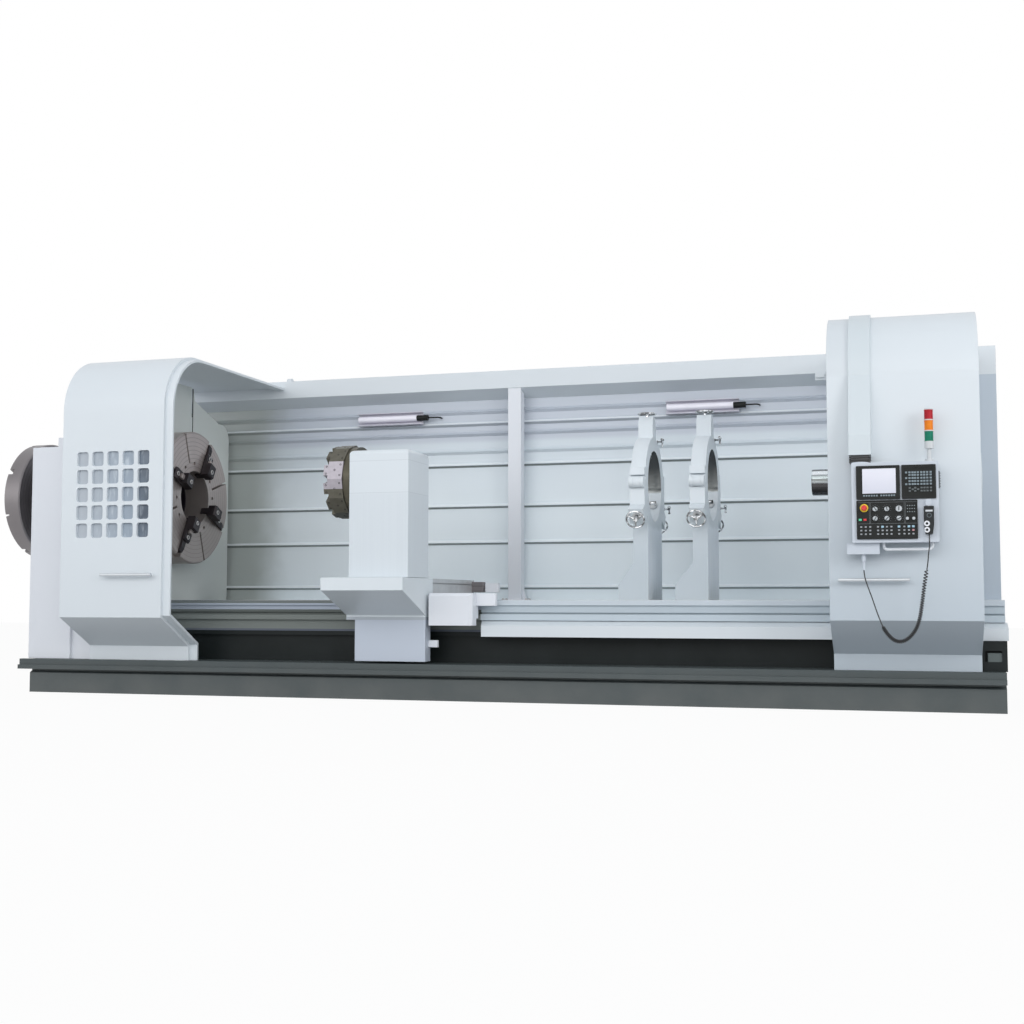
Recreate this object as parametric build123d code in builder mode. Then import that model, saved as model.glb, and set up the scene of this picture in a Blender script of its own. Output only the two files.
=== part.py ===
"""A heavy CNC turning lathe for long pipes and shafts, in millimetres.

The origin is under the middle of the base. X runs along the spindle axis towards the tailstock,
the operator stands on the -Y side, and Z points up. The spindle axis lies above Y = 0.
"""

import math
import os

from build123d import *

os.makedirs("parts", exist_ok=True)

# Clearances
slide_gap = 0.5
shaft_gap = 0.05
jaw_gap = 0.3

# Base
base_length = 8090
base_front = -750
base_back = 1250
base_plain_height = 170
base_shadow_height = 33
base_lip_height = 37
base_rail_height = 50
base_lip_reach = 50
base_lip_overhang = 92
base_shadow_depth = 30
base_left = -base_length / 2
base_right = base_length / 2

# Spindle and the two chucks
spindle_z = 1740
spindle_radius = 300
spindle_bore = 456
chuck_radius = 604
chuck_thickness = 235
chuck_bore = 490
front_face_x = base_left + 1173
rear_chuck_radius = 535
rear_chuck_thickness = 163
rear_face_x = base_left - 482
jaw_first_angle = 63
jaw_count = 4
jaw_inner = 230
jaw_length = 330
rear_jaw_length = 230
jaw_width = 56
jaw_depth = 55
jaw_rise = 22
top_jaw_width = 100
top_jaw_length = 225
top_jaw_height = 80
top_jaw_step = 24
tee_slot_width = 22
tee_slot_depth = 45
tee_slot_start = 326
face_hole_radius = 16
face_hole_depth = 40
face_hole_circle = 316
face_hole_spread = 15

# Bed
bed_height = 515
bed_overhang = 15
bed_half_width = 500
bed_web_inset = 70
outer_way_width = 170
inner_way_start = 150
inner_way_end = 330
way_gap_depth = 60
chip_channel_depth = 245
way_lip_height = 43
way_band_height = 58
way_band_inset = 20
rack_groove_height = 14
rack_groove_inset = 35
rack_height = 50
rack_seat_inset = 30
bed_side_height = 295

# Ledge guard along the front of the bed, and the box at the bed's right end
guard_left_x = 47
guard_reach = 100
guard_drop = 40
guard_face_height = 90
guard_overrun = 15
end_box_length = 190
end_box_front = -655
end_box_wall = 35
end_box_pocket = 60

# Headstock
headstock_length = 575
headstock_gap = 18
headstock_front = -640
headstock_back = 1080
headstock_top = 2540
headstock_corner = 150
nose_radius = 470
cover_left_x = base_left
cover_front = -672
cover_back = 760
cover_low_top = 2170
cover_high_top = 2250
cover_step_x = cover_left_x + 183

# Rear wall and beam
wall_back = 1180
wall_face = 1130
wall_fold = 24
wall_seam_shares = (0.068, 0.289, 0.47, 0.675, 0.743, 0.832, 0.882, 0.942)
plinth_front = 850
plinth_top = 795
beam_front = 930
beam_top = 2940
beam_fascia_bottom = beam_top - 165
beam_soffit_back = beam_top - 240
wall_right_x = base_right + 79
end_column_width = 224
post_front = 935
post_depth = 115
post_left_x = -155
post_width = 125
post_foot_margin = 55
post_foot_thickness = 12
beam_lug_x = base_left + 1650
beam_lug_radius = 32
beam_lug_width = 45

# Work lights
light_radius = 30
light_length = 600
light_left_edges = (-1700, 1315)
light_z = beam_soffit_back - 155
light_standoff = 50
plug_radius = 27
plug_length = 110
light_cable_radius = 7
light_cable_bend = 55
light_cable_run = 60

# Hoods
hood_width = 1034
left_hood_x = base_left + 571
right_hood_x = base_right - 1193
hood_skirt_front = -700
hood_face_front = -1150
hood_skirt_top = 410
hood_slant_top = 660
hood_roof_z = beam_top - 40
hood_arc_radius = 500
hood_sheet = 25
hood_lip_width = 70
hood_lip_sheet = 22
window_width = 109
window_height = 121
window_corner = 22
window_columns = 5
window_rows = 5
window_pitch_x = 145.5
window_pitch_z = 151
window_first_x = 197
window_centre_z = 1688
pane_thickness = 6
pane_margin = 30
handle_radius = 13
handle_standoff = 55
handle_post_radius = 9
left_handle_offset = 423
left_handle_length = 477
left_handle_z = 1013
right_handle_offset = 65
right_handle_length = 483
right_handle_z = 946

# Control arm and control box
duct_width = 150
duct_depth = 140
duct_thickness = 22
duct_offset = 153
swivel_width = 146
swivel_depth = 130
swivel_height = 52
swivel_ribs = 3
turntable_radius = 60
turntable_height = 8
box_width = 578
box_height = 556
box_depth = 150
box_front = -1330
box_left_reach = 58
box_top = 1756
box_corner = 10
bezel_depth = 14
screen_width = 292
screen_height = 234
screen_inset_x = 32
screen_inset_z = 24
glass_width = 222
glass_height = 172
glass_offset_z = 20
glass_recess = 6
keyboard_width = 226
unit_gap = 11
operator_width = 405
operator_height = 268
operator_drop = 265
operator_recess = 3
stop_x = 51
stop_z = 52
stop_ring_radius = 28
stop_radius = 21
stop_stem_radius = 11
stop_height = 34
stop_travel = 6
knob_x = (124, 202, 282)
knob_z = (60, 125)
knob_radius = 17
knob_height = 20
big_knob_radius = 22
small_knob_x = (337, 379)
small_knob_z = 128
small_knob_radius = 10
tower_offset = 522
tower_radius = 31
tower_lamp_height = 62
tower_ring_height = 13
tower_base_height = 54
tower_neck_radius = 14
tower_neck_height = 72
tower_foot_radius = 27
tower_foot_height = 20
junction_width = 219
junction_height = 78
junction_offset = 38
junction_depth = 76
gland_radius = 15
gland_height = 50
relief_radius = 9
relief_height = 60
gland_offset = 72
arm_tube_radius = 11
arm_start = 209
arm_length = 323
arm_drop = 45
pendant_width = 66
pendant_height = 190
pendant_depth = 52
pendant_offset = 510
pendant_bottom = 1253
hook_width = 40
hook_height = 46

# Cord from the junction box to the pendant
lead_radius = 4
coil_radius = 10

# Carriage
saddle_left_x = -1050
saddle_length = 703
saddle_front = -560
saddle_back = 520
saddle_height = 175
saddle_wing_height = 48
saddle_wing_length = 340
saddle_wing_depth = 180
saddle_groove_drop = 40
saddle_groove_width = 12
saddle_groove_depth = 22
tray_left_x = -1037
tray_length = 690
tray_front = -1245
tray_band_height = 100
tray_bottom = 643
tray_foot_front = -735
tray_foot_back = -615
tray_lip = 38
apron_length = 613
apron_bottom = 308
drive_left_x = -320
drive_length = 365
drive_bottom = 600
drive_height = 260
drive_chamfer = 24
drive_step = 655
drive_back_low = -612
drive_back_high = -562

# Cross slide, turret tower and turret
cross_left_x = -1000
cross_length = 400
cross_back = 20
cross_thickness = 100
tower_left_x = -847
tower_length = 500
tower_front = -1130
tower_back = -670
tower_bottom_gap = 2
turret_cover_top = 1990
turret_cover_round = 34
head_left_x = -1000
head_length = 470
head_back = -240
head_top = 1950
head_round = 60
turret_z = 1800
turret_y = -470
turret_radius = 310
turret_sides = 12
turret_thickness = 129
turret_right_x = -1071
turret_block_length = 39
turret_block_width = 90
turret_block_depth = 120
turret_hub_radius = 120
turret_hub_length = 40
turret_ring_radius = 292
turret_ring_length = 60

# Steady rests
steady_left_edges = (1273, 1753)
steady_foot_lefts = (1149, 1610)
steady_thickness = 120
steady_ring_radius = 405
steady_bore_radius = 290
steady_column_width = 630
steady_foot_height = 120
steady_flare_height = 300
steady_lug_reach = 40
steady_lug_height = 180
cap_lug_height = 120
hinge_offset = 55
hinge_radius = 45
hinge_pin_radius = 18
hinge_ear = 30
quill_radius = 35
quill_inner = 250
boss_width = 130
boss_outer = 548
top_boss_width = 150
top_boss_height = 105
top_taper_height = 65
top_taper_width = 86
wheel_radius = 78
wheel_rim = 14
wheel_centre = 604
wheel_hub_radius = 20
wheel_spoke_width = 12
screw_radius = 14
screw_inner = 390
screw_room = 25
wheel_spokes = 3
quill_angles = (90, 210, 330)

# Tailstock
tailstock_left_x = base_right - 1215
tailstock_length = 1050
tailstock_half_width = 430
tailstock_sole = 130
tailstock_waist = 300
tailstock_barrel_radius = 275
tailstock_rear_radius = 210
tailstock_rear_length = 60
tail_quill_radius = 104
tail_quill_out = 164
tail_quill_length = 900
tail_quill_room = 45
tail_socket_radius = 50
tail_socket_depth = 160

# Levels and planes worked out from the sizes above
lip_bottom = base_plain_height + base_shadow_height
rail_bottom = lip_bottom + base_lip_height
base_top = rail_bottom + base_rail_height
ways_z = base_top + bed_height
saddle_top = ways_z + saddle_height
chuck_back_x = front_face_x - chuck_thickness
headstock_right = chuck_back_x - headstock_gap
headstock_left = headstock_right - headstock_length
bed_right = base_right + bed_overhang
hood_bottom = base_top + slide_gap
hood_back = beam_front - slide_gap
hood_slope = math.atan2(hood_slant_top - hood_skirt_top, hood_skirt_front - hood_face_front)
hood_corner_shift = math.tan((math.pi / 2 - hood_slope) / 2)
hood_arc_start = hood_roof_z - hood_arc_radius
hood_arc_centre_y = hood_face_front + hood_arc_radius
swivel_x = right_hood_x + duct_offset + duct_width / 2
swivel_y = box_front + box_depth / 2
box_left_x = swivel_x - box_left_reach
box_bottom = box_top - box_height
swivel_bottom = box_top + turntable_height
box_back = box_front + box_depth
box_right_x = box_left_x + box_width
panel_face = box_front - bezel_depth
cross_bottom = saddle_top + slide_gap
cross_top = cross_bottom + cross_thickness
wall_height = beam_soffit_back - plinth_top
wall_seams = [plinth_top + share * wall_height for share in wall_seam_shares]


def radial_plane(x, angle, centre_y=0.0, centre_z=spindle_z, radius=0.0):
    """A plane facing outwards along a radius, at a distance from an axis parallel to X."""
    turn = math.radians(angle)
    outward = (0, math.cos(turn), math.sin(turn))
    origin = (x, centre_y + radius * outward[1], centre_z + radius * outward[2])
    return Plane(origin=origin, x_dir=(1, 0, 0), z_dir=outward)


def side_plane(x, angle):
    """A plane through the spindle axis: local x runs outwards and local y runs along +X."""
    turn = math.radians(angle)
    outward = (0, math.cos(turn), math.sin(turn))
    tangent = (0, math.sin(turn), -math.cos(turn))
    return Plane(origin=(x, 0, spindle_z), x_dir=outward, z_dir=tangent)


def axis_plane(x):
    """A plane square to the spindle axis with its origin on that axis: local x is Y, local y is Z."""
    return Plane(origin=(x, 0, spindle_z), x_dir=(0, 1, 0), z_dir=(1, 0, 0))


def front_plane(y):
    """A plane facing the operator: local x is X, local y is Z, and extruding goes to -Y."""
    return Plane.XZ.offset(-y)


def finish_part(builder, name):
    """Names a finished piece and writes it."""
    builder.part.label = name
    export_step(builder.part, f"parts/{name}.step")


# Base: a welded plinth with a lip that the hoods' rollers run along
with BuildPart() as base:
    with BuildSketch(Plane.YZ.offset(base_left)):
        with BuildLine():
            Polyline(
                (base_front, 0),
                (base_front, base_plain_height),
                (base_front + base_shadow_depth, base_plain_height + base_shadow_height / 2),
                (base_front + base_shadow_depth, base_top),
                (base_back, base_top),
                (base_back, 0),
                close=True,
            )
        make_face()
    extrude(amount=base_length)
    with BuildSketch(Plane.YZ.offset(base_left - base_lip_overhang)):
        with BuildLine():
            Polyline(
                (base_front + base_shadow_depth, lip_bottom),
                (base_front - base_lip_reach, lip_bottom),
                (base_front - base_lip_reach, rail_bottom),
                (base_front - base_lip_reach / 2, rail_bottom),
                (base_front - base_lip_reach / 2, base_top),
                (base_front + base_shadow_depth, base_top),
                close=True,
            )
        make_face()
    extrude(amount=base_length + base_lip_overhang)
finish_part(base, "base")

# Bed: a casting with flat outer ways for the carriage and inner ways for the tailstock and steadies
bed_front = -bed_half_width
bed_side_bottom = ways_z - bed_side_height
end_box_height = bed_side_bottom - base_top
band_top = ways_z - way_lip_height
band_bottom = band_top - way_band_height
groove_bottom = band_bottom - rack_groove_height
rack_bottom = groove_bottom - rack_height
web_half = bed_half_width - bed_web_inset
outer_way_inner = bed_half_width - outer_way_width
guard_seat = bed_front + rack_seat_inset
with BuildPart() as bed:
    with BuildSketch(Plane.YZ.offset(headstock_right)):
        with BuildLine():
            Polyline(
                (-web_half, base_top),
                (-web_half, bed_side_bottom),
                (guard_seat, bed_side_bottom),
                (guard_seat, rack_bottom),
                (bed_front, rack_bottom),
                (bed_front, groove_bottom),
                (bed_front + rack_groove_inset, groove_bottom),
                (bed_front + rack_groove_inset, band_bottom),
                (bed_front + way_band_inset, band_bottom),
                (bed_front + way_band_inset, band_top),
                (bed_front, band_top),
                (bed_front, ways_z),
                (bed_half_width, ways_z),
                (bed_half_width, bed_side_bottom),
                (web_half, bed_side_bottom),
                (web_half, base_top),
                close=True,
            )
        make_face()
        for side in (-1, 1):
            gap_width = outer_way_inner - inner_way_end
            if gap_width > 0:
                with Locations((side * (inner_way_end + gap_width / 2), ways_z - way_gap_depth / 2)):
                    Rectangle(gap_width, way_gap_depth, mode=Mode.SUBTRACT)
        with Locations((0, ways_z - chip_channel_depth / 2)):
            Rectangle(2 * inner_way_start, chip_channel_depth, mode=Mode.SUBTRACT)
    extrude(amount=bed_right - headstock_right)
    with BuildSketch(front_plane(-web_half)):
        with Locations((bed_right - end_box_length / 2, base_top + end_box_height / 2)):
            Rectangle(end_box_length, end_box_height)
    extrude(amount=-end_box_front - web_half)
    with BuildSketch(front_plane(end_box_front)):
        with Locations((bed_right - end_box_length / 2, base_top + end_box_height / 2)):
            RectangleRounded(end_box_length - 2 * end_box_wall, end_box_height - 4 * end_box_wall, 12)
    extrude(amount=-end_box_pocket, mode=Mode.SUBTRACT)
finish_part(bed, "bed")

# Ledge guard: a folded cover bolted along the bed's front over the feed rack
guard_front = bed_front - guard_reach
guard_crest = rack_bottom
guard_edge = guard_crest - guard_drop
with BuildPart() as front_way_guard:
    with BuildSketch(Plane.YZ.offset(guard_left_x)):
        with BuildLine():
            Polyline(
                (guard_seat, guard_crest),
                (guard_front, guard_edge),
                (guard_front, guard_edge - guard_face_height),
                (guard_seat, guard_edge - guard_face_height),
                close=True,
            )
        make_face()
    extrude(amount=bed_right + guard_overrun - guard_left_x)
    with BuildSketch(Plane.XY.offset(guard_crest)):
        with BuildLine():
            Polyline(
                (guard_left_x, guard_front),
                (guard_left_x + guard_reach / 3, guard_front),
                (guard_left_x, guard_seat),
                close=True,
            )
        make_face()
    extrude(amount=-guard_drop - guard_face_height, mode=Mode.SUBTRACT)
finish_part(front_way_guard, "front_way_guard")

# Headstock casting with the bore that carries the spindle and a round nose towards the chuck
with BuildPart() as headstock_casting:
    with BuildSketch(Plane.YZ.offset(headstock_left)):
        with BuildLine():
            Line((headstock_front, base_top), (headstock_front, headstock_top - headstock_corner))
            CenterArc(
                (headstock_front + headstock_corner, headstock_top - headstock_corner),
                headstock_corner,
                90,
                90,
            )
            Line(
                (headstock_front + headstock_corner, headstock_top),
                (headstock_back - headstock_corner, headstock_top),
            )
            CenterArc(
                (headstock_back - headstock_corner, headstock_top - headstock_corner),
                headstock_corner,
                0,
                90,
            )
            Polyline(
                (headstock_back, headstock_top - headstock_corner),
                (headstock_back, base_top),
                (headstock_front, base_top),
            )
        make_face()
    extrude(amount=headstock_length)
    with BuildSketch(axis_plane(headstock_right)):
        Circle(nose_radius)
    extrude(amount=headstock_gap - 6)
    with BuildSketch(axis_plane(headstock_left)):
        Circle(spindle_radius + shaft_gap)
    extrude(amount=headstock_length + headstock_gap, mode=Mode.SUBTRACT)
finish_part(headstock_casting, "headstock_casting")

# Cover over the headstock's drive, stepped at its top
with BuildPart() as headstock_end_cover:
    with BuildSketch(front_plane(cover_back)):
        with BuildLine():
            Polyline(
                (cover_left_x, base_top),
                (cover_left_x, cover_low_top),
                (cover_step_x, cover_low_top),
                (cover_step_x, cover_high_top),
                (headstock_left, cover_high_top),
                (headstock_left, base_top),
                close=True,
            )
        make_face()
    extrude(amount=cover_back - cover_front)
    with BuildSketch(axis_plane(cover_left_x)):
        Circle(spindle_radius + shaft_gap)
    extrude(amount=headstock_left - cover_left_x, mode=Mode.SUBTRACT)
finish_part(headstock_end_cover, "headstock_end_cover")

# Spindle: a long hollow shaft between the two chucks
rear_chuck_back_x = rear_face_x + rear_chuck_thickness
with BuildPart() as spindle:
    with BuildSketch(axis_plane(rear_chuck_back_x)):
        Circle(spindle_radius)
        Circle(spindle_bore / 2, mode=Mode.SUBTRACT)
    extrude(amount=chuck_back_x - rear_chuck_back_x)
finish_part(spindle, "spindle")


def chuck_body(name, face_x, back_x, radius, direction):
    """A four-jaw chuck body: jaw ways, tee slots and a ring of bolt holes in its turned face."""
    with BuildPart() as chuck:
        with BuildSketch(axis_plane(min(face_x, back_x))):
            Circle(radius)
            Circle(chuck_bore / 2, mode=Mode.SUBTRACT)
        extrude(amount=abs(back_x - face_x))
        rim = chuck.edges().filter_by(GeomType.CIRCLE).group_by(SortBy.RADIUS)[-1]
        chamfer(rim, length=10)
        for turn in range(jaw_count):
            angle = jaw_first_angle + turn * 360 / jaw_count
            with BuildSketch(side_plane(face_x, angle)):
                with Locations(((chuck_bore / 2 + radius) / 2, -direction * jaw_depth / 2)):
                    Rectangle(radius, jaw_depth)
            extrude(amount=jaw_width / 2 + jaw_gap, both=True, mode=Mode.SUBTRACT)
            with BuildSketch(side_plane(face_x, angle - 180 / jaw_count)):
                slot_length = radius - tee_slot_start
                with Locations((tee_slot_start + slot_length / 2 + 10, -direction * tee_slot_depth / 2)):
                    Rectangle(slot_length + 20, tee_slot_depth)
            extrude(amount=tee_slot_width / 2, both=True, mode=Mode.SUBTRACT)
        hole_angles = [
            jaw_first_angle + (turn - 0.5) * 360 / jaw_count + spread
            for turn in range(jaw_count)
            for spread in (-face_hole_spread, face_hole_spread)
        ]
        with BuildSketch(axis_plane(face_x)):
            for angle in hole_angles:
                with Locations(
                    (
                        face_hole_circle * math.cos(math.radians(angle)),
                        face_hole_circle * math.sin(math.radians(angle)),
                    )
                ):
                    Circle(face_hole_radius)
        extrude(amount=-direction * face_hole_depth, mode=Mode.SUBTRACT)
    finish_part(chuck, name)


def jaw_profile(direction, length):
    """Draws a jaw's slide in the current sketch: local x outwards, local y out of the chuck's face."""
    floor = -jaw_depth + jaw_gap
    outer = jaw_inner + length
    with BuildLine() as outline:
        Polyline(
            (jaw_inner, direction * floor),
            (jaw_inner, direction * jaw_rise),
            (outer - 40, direction * jaw_rise),
            (outer, direction * jaw_rise / 2),
            (outer, direction * floor),
            close=True,
        )
    make_face(outline.edges())


def top_jaw_profile(direction):
    """Draws the hard top jaw, with a step half way down its length."""
    step_x = jaw_inner + top_jaw_length / 2
    end_x = jaw_inner + top_jaw_length
    top = jaw_rise + top_jaw_height
    with BuildLine() as outline:
        Polyline(
            (jaw_inner - 8, direction * jaw_rise),
            (jaw_inner - 8, direction * (top - 14)),
            (jaw_inner + 6, direction * top),
            (step_x, direction * top),
            (step_x + 6, direction * (jaw_rise + top_jaw_step)),
            (end_x - 20, direction * (jaw_rise + top_jaw_step)),
            (end_x, direction * (jaw_rise + top_jaw_step / 2)),
            (end_x, direction * jaw_rise),
            close=True,
        )
    make_face(outline.edges())


# Front chuck and its four jaws, each on its own screw
chuck_body("front_chuck", front_face_x, chuck_back_x, chuck_radius, 1)
for turn in range(jaw_count):
    angle = jaw_first_angle + turn * 360 / jaw_count
    with BuildPart() as front_jaw:
        with BuildSketch(side_plane(front_face_x, angle)):
            jaw_profile(1, jaw_length)
        extrude(amount=jaw_width / 2, both=True)
        with BuildSketch(side_plane(front_face_x, angle)):
            top_jaw_profile(1)
        extrude(amount=top_jaw_width / 2, both=True)
    finish_part(front_jaw, f"front_jaw_{turn + 1}")

# Rear chuck and its jaws, which face away from the headstock
chuck_body("rear_chuck", rear_face_x, rear_chuck_back_x, rear_chuck_radius, -1)
with BuildPart() as rear_jaws:
    for turn in range(jaw_count):
        angle = jaw_first_angle + turn * 360 / jaw_count
        with BuildSketch(side_plane(rear_face_x, angle)):
            jaw_profile(-1, rear_jaw_length)
        extrude(amount=jaw_width / 2, both=True)
finish_part(rear_jaws, "rear_jaws")

# Rear wall: a plinth behind the bed, panels with a folded rib at each seam, and a column at the right
with BuildPart() as rear_wall:
    with BuildSketch(Plane.YZ.offset(base_left)):
        with BuildLine():
            outline = [(wall_back, base_top), (wall_face, base_top), (wall_face, plinth_top)]
            for seam in wall_seams:
                outline.append((wall_face, seam - wall_fold))
                outline.append((wall_face - wall_fold, seam))
                outline.append((wall_face, seam + wall_fold))
            outline.append((wall_face, beam_soffit_back))
            outline.append((wall_back, beam_soffit_back))
            Polyline(*outline, close=True)
        make_face()
    extrude(amount=wall_right_x - base_left)
    with BuildSketch(Plane.YZ.offset(headstock_right)):
        with Locations(((plinth_front + wall_back) / 2, (base_top + plinth_top) / 2)):
            Rectangle(wall_back - plinth_front, plinth_top - base_top)
    extrude(amount=wall_right_x - headstock_right)
    with BuildSketch(Plane.XY.offset(plinth_top)):
        with Locations((wall_right_x - end_column_width / 2, (beam_front + wall_back) / 2)):
            Rectangle(end_column_width, wall_back - beam_front)
    extrude(amount=beam_soffit_back - plinth_top)
finish_part(rear_wall, "rear_wall")


def soffit_z(y):
    """Height of the beam's slanted underside above a given Y."""
    share = (y - beam_front) / (wall_face - beam_front)
    return beam_fascia_bottom + share * (beam_soffit_back - beam_fascia_bottom)


# Top beam: a folded box along the wall's top with a slanted underside, and a rounded lifting lug
with BuildPart() as top_beam:
    with BuildSketch(Plane.YZ.offset(base_left)):
        with BuildLine():
            Polyline(
                (beam_front, beam_top),
                (beam_front, beam_fascia_bottom),
                (wall_face, beam_soffit_back),
                (wall_back, beam_soffit_back),
                (wall_back, beam_top),
                close=True,
            )
        make_face()
    extrude(amount=wall_right_x - base_left)
    with BuildSketch(Plane.YZ.offset(beam_lug_x - beam_lug_width / 2)):
        with Locations((beam_front + beam_lug_radius, beam_top)):
            Circle(beam_lug_radius)
    extrude(amount=beam_lug_width)
    with BuildSketch(Plane.XY.offset(beam_soffit_back)):
        with Locations((wall_right_x - end_column_width / 2, (beam_front + wall_face) / 2)):
            Rectangle(end_column_width, wall_face - beam_front)
    extrude(amount=beam_fascia_bottom - beam_soffit_back)
finish_part(top_beam, "top_beam")

# Post between the plinth and the beam, on a bolted foot plate with a small rib
post_back = post_front + post_depth
foot_top = plinth_top + post_foot_thickness
with BuildPart() as beam_post:
    with BuildSketch(Plane.YZ.offset(post_left_x)):
        with BuildLine():
            Polyline(
                (post_front, foot_top),
                (post_front, soffit_z(post_front)),
                (post_back, soffit_z(post_back)),
                (post_back, foot_top),
                close=True,
            )
        make_face()
    extrude(amount=post_width)
    with BuildSketch(Plane.XY.offset(plinth_top)):
        with Locations((post_left_x + post_width / 2, post_front + post_depth / 2)):
            Rectangle(post_width + 2 * post_foot_margin, post_depth + post_foot_margin)
    extrude(amount=post_foot_thickness)
    with BuildSketch(front_plane(post_front + post_depth / 2)):
        with BuildLine():
            Polyline(
                (post_left_x + post_width, foot_top),
                (post_left_x + post_width + post_foot_margin - 15, foot_top),
                (post_left_x + post_width, foot_top + 2.4 * post_foot_margin),
                close=True,
            )
        make_face()
    extrude(amount=5, both=True)
finish_part(beam_post, "beam_post")

# Work lights: two glass tubes in front of the wall's top panel
light_y = wall_face - wall_fold - light_standoff
light_right_edges = [left + light_length for left in light_left_edges]
with BuildPart() as work_lights:
    for left in light_left_edges:
        with BuildSketch(Plane(origin=(left, light_y, light_z), x_dir=(0, 1, 0), z_dir=(1, 0, 0))):
            Circle(light_radius)
        extrude(amount=light_length)
finish_part(work_lights, "work_lights")

# Each light's plug, its short bent cable into the wall, and the two clips that hold the tube
with BuildPart() as light_plugs:
    for right in light_right_edges:
        with BuildSketch(Plane(origin=(right, light_y, light_z), x_dir=(0, 1, 0), z_dir=(1, 0, 0))):
            Circle(plug_radius)
        extrude(amount=plug_length)
        cable_start = right + plug_length
        with BuildLine() as cable_route:
            FilletPolyline(
                (cable_start - 5, light_y, light_z),
                (cable_start + light_cable_run + light_cable_bend, light_y, light_z),
                (cable_start + light_cable_run + light_cable_bend, wall_face, light_z),
                radius=light_cable_bend / 1.5,
            )
        with BuildSketch(Plane(origin=(cable_start - 5, light_y, light_z), x_dir=(0, 1, 0), z_dir=(1, 0, 0))):
            Circle(light_cable_radius)
        sweep(path=cable_route.line)
        for clip_x in (right - light_length + plug_radius, right - plug_radius):
            with BuildSketch(front_plane(wall_face)):
                with Locations((clip_x, light_z)):
                    Rectangle(plug_radius, plug_radius)
            extrude(amount=wall_face - light_y - light_radius)
finish_part(light_plugs, "light_plugs")


def hood_sheet_face(outer_inset, inner_inset):
    """Draws a hood's folded sheet in the current sketch, between two insets of its outline."""
    with BuildLine() as outline:
        for inset in (outer_inset, inner_inset):
            lift = inset * hood_corner_shift
            Polyline(
                (hood_skirt_front + inset, hood_bottom),
                (hood_skirt_front + inset, hood_skirt_top + lift),
                (hood_face_front + inset, hood_slant_top + lift),
                (hood_face_front + inset, hood_arc_start),
            )
            CenterArc((hood_arc_centre_y, hood_arc_start), hood_arc_radius - inset, 90, 90)
            Line((hood_arc_centre_y, hood_roof_z - inset), (hood_back, hood_roof_z - inset))
        Line((hood_skirt_front + outer_inset, hood_bottom), (hood_skirt_front + inner_inset, hood_bottom))
        Line((hood_back, hood_roof_z - outer_inset), (hood_back, hood_roof_z - inner_inset))
    make_face(outline.edges())


def window_locations():
    """Centres of the window openings on the left hood's front, as X and Z."""
    for column in range(window_columns):
        for row in range(window_rows):
            x = left_hood_x + window_first_x + column * window_pitch_x
            z = window_centre_z + (row - (window_rows - 1) / 2) * window_pitch_z
            yield (x, z)


# Left hood: a sliding guard over the chuck with a grid of window openings
left_hood_right = left_hood_x + hood_width
with BuildPart() as left_hood:
    with BuildSketch(Plane.YZ.offset(left_hood_x)):
        hood_sheet_face(0, hood_sheet)
    extrude(amount=hood_width - hood_lip_width)
    with BuildSketch(front_plane(hood_face_front)):
        with Locations(*window_locations()):
            RectangleRounded(window_width, window_height, window_corner)
    extrude(amount=-hood_sheet, mode=Mode.SUBTRACT)
finish_part(left_hood, "left_hood")

# Lip sheet welded inside the left hood, which stands out at its right edge
with BuildPart() as left_hood_lip:
    with BuildSketch(Plane.YZ.offset(left_hood_right - hood_lip_width - hood_sheet)):
        hood_sheet_face(hood_sheet, hood_sheet + hood_lip_sheet)
    extrude(amount=hood_lip_width + hood_sheet)
finish_part(left_hood_lip, "left_hood_lip")

# One clear sheet behind the window openings
grid_width = (window_columns - 1) * window_pitch_x + window_width + 2 * pane_margin
grid_height = (window_rows - 1) * window_pitch_z + window_height + 2 * pane_margin
with BuildPart() as window_panes:
    with BuildSketch(front_plane(hood_face_front + hood_sheet + pane_thickness)):
        grid_centre = left_hood_x + window_first_x + (window_columns - 1) * window_pitch_x / 2
        with Locations((grid_centre, window_centre_z)):
            Rectangle(grid_width, grid_height)
    extrude(amount=pane_thickness)
finish_part(window_panes, "window_panes")


def bar_handle(name, left, length, z):
    """A round bar on two stub posts that stand on a hood's front."""
    with BuildPart() as handle:
        with BuildSketch(Plane.YZ.offset(left)):
            with Locations((hood_face_front - handle_standoff, z)):
                Circle(handle_radius)
        extrude(amount=length)
        with BuildSketch(front_plane(hood_face_front)):
            with Locations((left + 3 * handle_radius, z), (left + length - 3 * handle_radius, z)):
                Circle(handle_post_radius)
        extrude(amount=handle_standoff)
    finish_part(handle, name)


bar_handle("left_hood_handle", left_hood_x + left_handle_offset, left_handle_length, left_handle_z)
bar_handle("right_hood_handle", right_hood_x + right_handle_offset, right_handle_length, right_handle_z)

# Right hood: the same guard over the tailstock, plain on its front
with BuildPart() as right_hood:
    with BuildSketch(Plane.YZ.offset(right_hood_x)):
        hood_sheet_face(0, hood_sheet)
    extrude(amount=hood_width)
finish_part(right_hood, "right_hood")

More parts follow.
